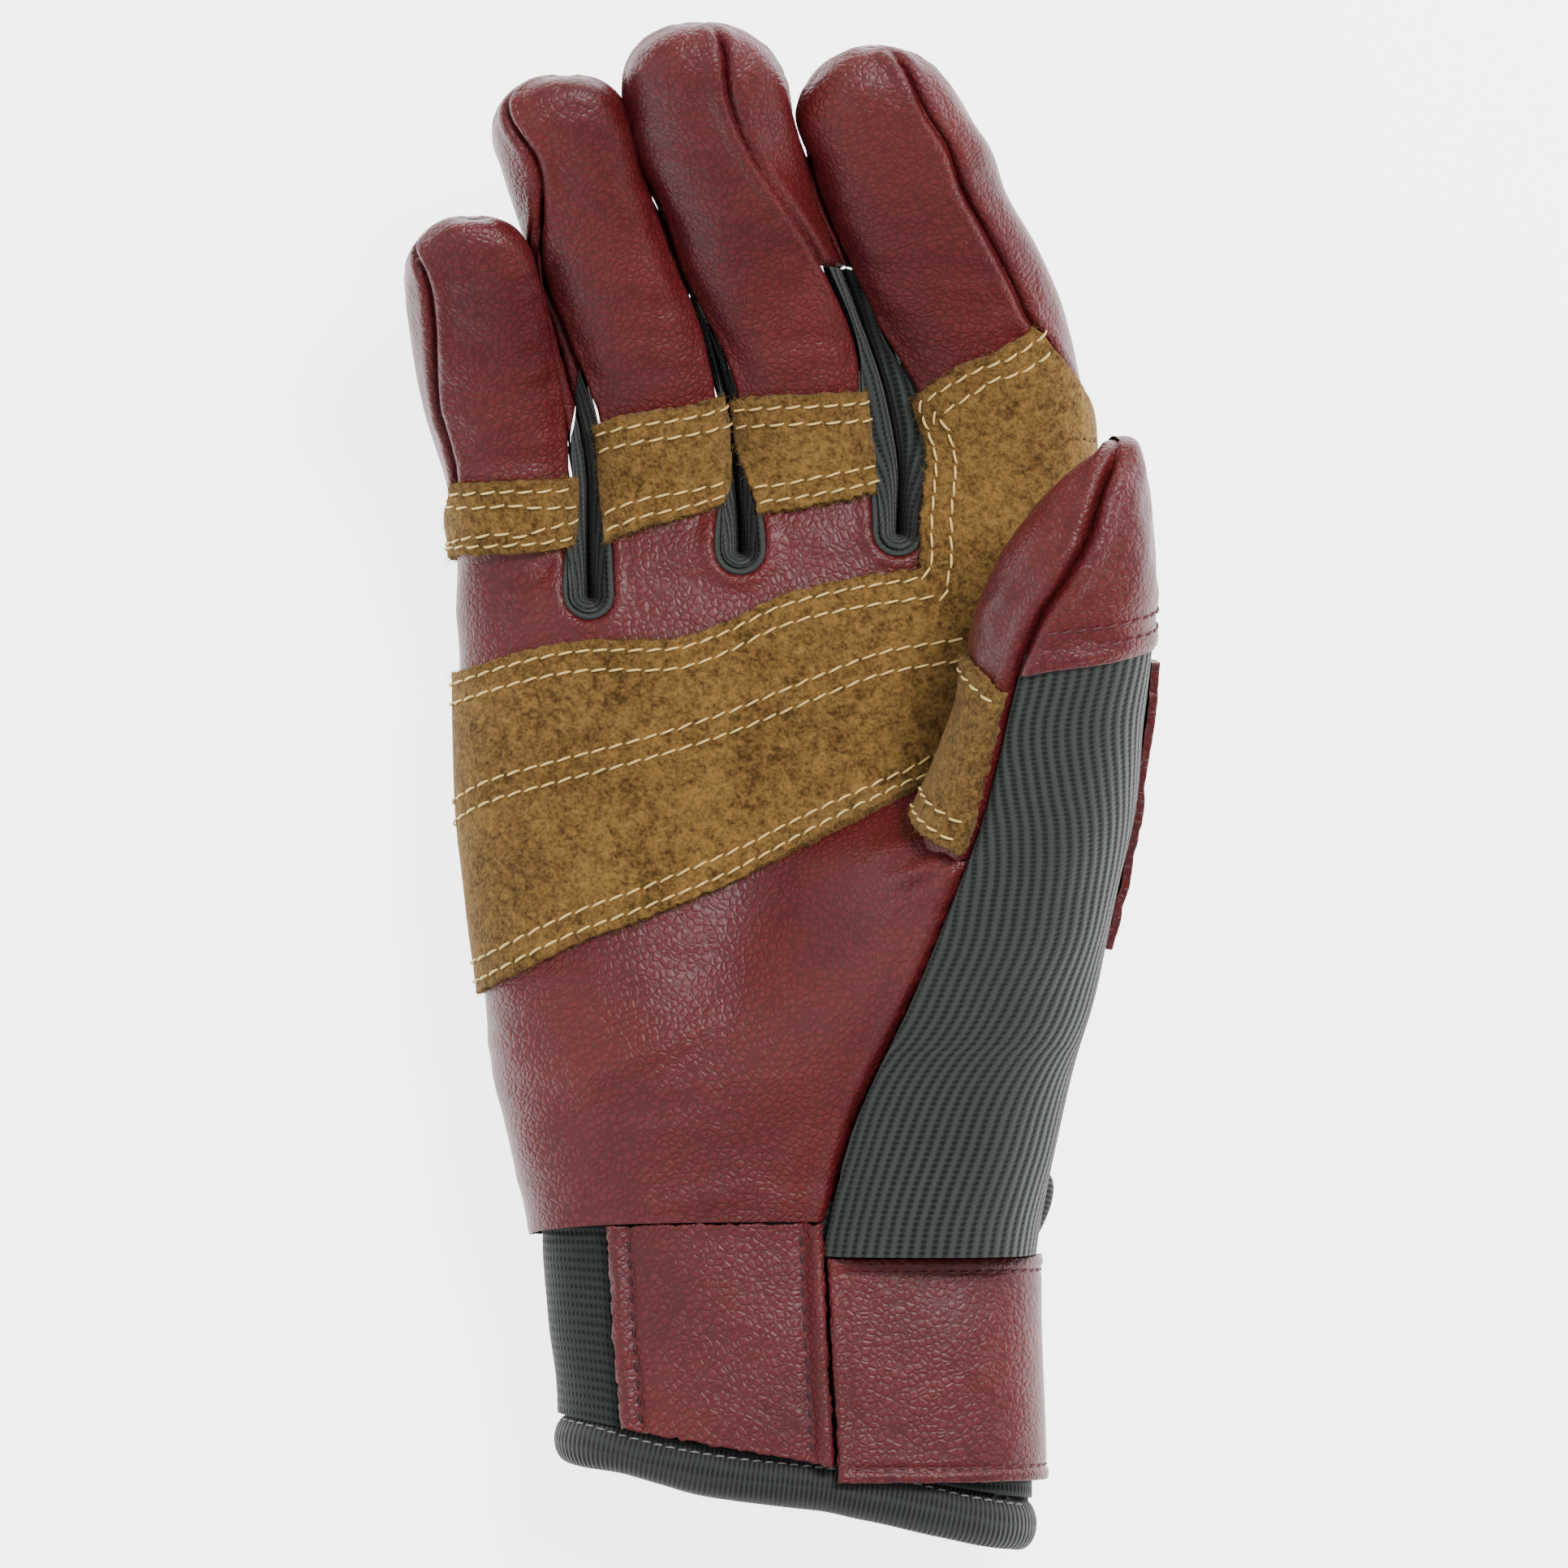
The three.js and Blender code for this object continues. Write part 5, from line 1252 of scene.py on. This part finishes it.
strap = grid + normal * height[..., None]
strap[..., 2] = np.maximum(strap[..., 2], 0.4)
grid_piece("strap", "goat_leather", red_leather, rimmed(strap, normal, STRAP_THICK, 0.12))
rows_in = int(round(STRAP_ROW_IN / STRAP_WIDTH * 109))
left_row = inset(strap, "left", STRAP_ROW_IN)[rows_in:-rows_in]
strap_lines = [strap[rows_in, 3:170], strap[-1 - rows_in, 3:170], left_row]
stitches("strap_stitches", strap_lines, [(strap, normal)], maroon_thread,
         2.2, 1.6, 0.34, 0.12)

loop_angles = np.linspace(STRAP_TURN - 1, STRAP_TURN - 22, 40)
low = WRIST_LEVEL - STRAP_DROP - STRAP_WIDTH + strap_narrows(loop_angles)
grid = on_wrist(loop_angles, low, np.full(40, WRIST_LEVEL - STRAP_DROP), np.linspace(0, 1, 50), LOOP_LIFT)
normal = normals_of(grid)
grid_piece("strap_loop_patch", "binding_fabric", knit_fabric, rimmed(grid, normal, LOOP_THICK, 0.1))


# The binding: a padded roll of fabric round the cuff's hem, finely ribbed across, and a thin one
# round the slit under the thumb.
def from_middle(line):
    """The way outwards from the middle of the hand's section at each point of a line."""
    x, z, _, _ = section(line[:, 1])
    return np.stack([line[:, 0] - x, np.zeros(len(line)), line[:, 2] - z], axis=1)


binding_fabric = rib_material(
    "binding_fabric", 0.75, False, (0.010, 0.012, 0.011), (0.036, 0.040, 0.038), 3.0,
)
angles = np.linspace(SLIT_FROM + 2, SLIT_TO + 358, 420)
line = on_cuff(angles, cuff_end(angles), 0.7 - BINDING_DEPTH / 2)
sag = 1.1 * np.sin(np.radians(angles)).clip(0) * np.sin(line[:, 0] / 7.0)
line[:, 1] += 0.5 * sag
swell = 1 + 0.06 * noise(line, 6.0, 20)
grid = roll(line, from_middle(line), BINDING_WIDTH * swell, BINDING_DEPTH * swell)
grid[..., 2] = np.maximum(grid[..., 2], 0.3)
cap = np.stack([np.broadcast_to(row.mean(axis=0), row.shape) for row in (grid[0], grid[-1])])
grid = np.concatenate([cap[:1], grid, cap[1:]])
grid_piece("cuff_binding", "binding_fabric", binding_fabric, grid)
upper = roll(line, from_middle(line), BINDING_WIDTH * 0.80, BINDING_DEPTH * 1.02)
side = np.argmax(upper[60, :, 1] + 0.4 * upper[60, :, 2])
grey_thread = thread_material("grey_thread", (0.17, 0.18, 0.17))
surface = normals_of(grid[1:-1])
if surface[60, 0] @ from_middle(line)[60] < 0:
    surface = -surface
stitches("binding_stitches", [upper[20:220, side]], [(grid[1:-1][::2, ::2], surface[::2, ::2])],
         grey_thread, 1.9, 1.3, 0.3, 0.1)

SLIT_PATH = {
    "share": [0.00, 0.25, 0.50, 0.77, 0.85, 0.92, 0.975, 1.00],
    "side": [1.0, 1.0, 1.0, 1.0, 1.0, 1.0, 0.7, 0.0],
    "out": [0.0, 0.0, 0.0, 0.0, 0.6, 0.9, 1.0, 1.0],
}
share = np.array(SLIT_PATH["share"] + SLIT_PATH["share"][-2::-1])
side = np.array(SLIT_PATH["side"] + [-value for value in SLIT_PATH["side"][-2::-1]])
out = np.array(SLIT_PATH["out"] + SLIT_PATH["out"][-2::-1])
lifted = out * (CUFF_INSET + SLIT_BINDING_DEPTH / 2 + 1.2) - SLIT_BINDING_DEPTH / 2
level = mix(cuff_end(0.0), WRIST_LEVEL + 9.0, share)
angle = (SLIT_FROM + SLIT_TO) / 2 + side * 6.5
path = np.stack([on_cuff(np.array(a), np.array(y), o) for a, y, o in zip(angle, level, lifted)])
length = np.concatenate([[0], np.cumsum(np.linalg.norm(np.diff(path, axis=0), axis=1))])
fine = np.linspace(0, length[-1], 200)
line = np.stack([np.interp(fine, length, path[:, k]) for k in range(3)], axis=1)
for _ in range(12):
    line[1:-1] = (line[:-2] + 2 * line[1:-1] + line[2:]) / 4
grid = roll(line, from_middle(line), SLIT_BINDING_WIDTH, SLIT_BINDING_DEPTH, 16)
grid_piece("slit_binding", "binding_fabric", binding_fabric, grid)


# The thumb cap's hem is turned in and sewn down with two rows of maroon thread, which rise outwards
# as the hem does.
hem_rows = np.array([THUMB_HEM + 1.6 / THUMB_LENGTH, THUMB_HEM + 4.4 / THUMB_LENGTH])
share = np.linspace(0.03, 0.6, 120)
hem_lines = [outer_thumb(s, share) for s in hem_rows]
stitches("thumb_cap_stitches", hem_lines, [(cap_grid[:40], cap_normal[:40])], maroon_thread,
         2.2, 1.7, 0.36, 0.16)


# The ground is a wide white sheet under soft studio light: an even white sky, a key light from the
# upper right and a weak fill light from the left.
def plain_material(name, colour, roughness, glow):
    """A material of one colour for the stage, which also glows a little so that it reads as white."""
    material, add, calc, paint = surface_nodes(name)
    paint({
        "Base Color": (*colour, 1), "Roughness": roughness,
        "Emission Color": (1, 1, 1, 1), "Emission Strength": glow,
    })
    return material


WHITE, FLOOR_ROUGHNESS, FLOOR_GLOW, SKY_STRENGTH = (0.92, 0.92, 0.92), 0.9, 3.6, 0.72
floor_mesh = bpy.data.meshes.new("floor")
floor_mesh.from_pydata([(-3, -3, 0), (3, -3, 0), (3, 3, 0), (-3, 3, 0)], [], [(0, 1, 2, 3)])
floor = bpy.data.objects.new("floor", floor_mesh)
bpy.context.scene.collection.objects.link(floor)
floor.data.materials.append(plain_material("floor", WHITE, FLOOR_ROUGHNESS, FLOOR_GLOW))

world = bpy.data.worlds.new("world")
world.use_nodes = True
world.node_tree.nodes["Background"].inputs["Color"].default_value = (1, 1, 1, 1)
world.node_tree.nodes["Background"].inputs["Strength"].default_value = SKY_STRENGTH
bpy.context.scene.world = world
for name, place, size, power in (
    ("key_light", (0.45, 0.55, 1.1), 0.4, 22.0),
    ("fill_light", (-0.8, -0.3, 1.0), 0.9, 4.0),
):
    data = bpy.data.lights.new(name, "AREA")
    data.size = size
    data.energy = power
    light = bpy.data.objects.new(name, data)
    light.location = place
    direction = -np.array(place)
    light.rotation_euler = (
        math.acos(-direction[2] / np.linalg.norm(direction)), 0,
        math.atan2(direction[1], direction[0]) + math.pi / 2 + math.pi,
    )
    bpy.context.scene.collection.objects.link(light)
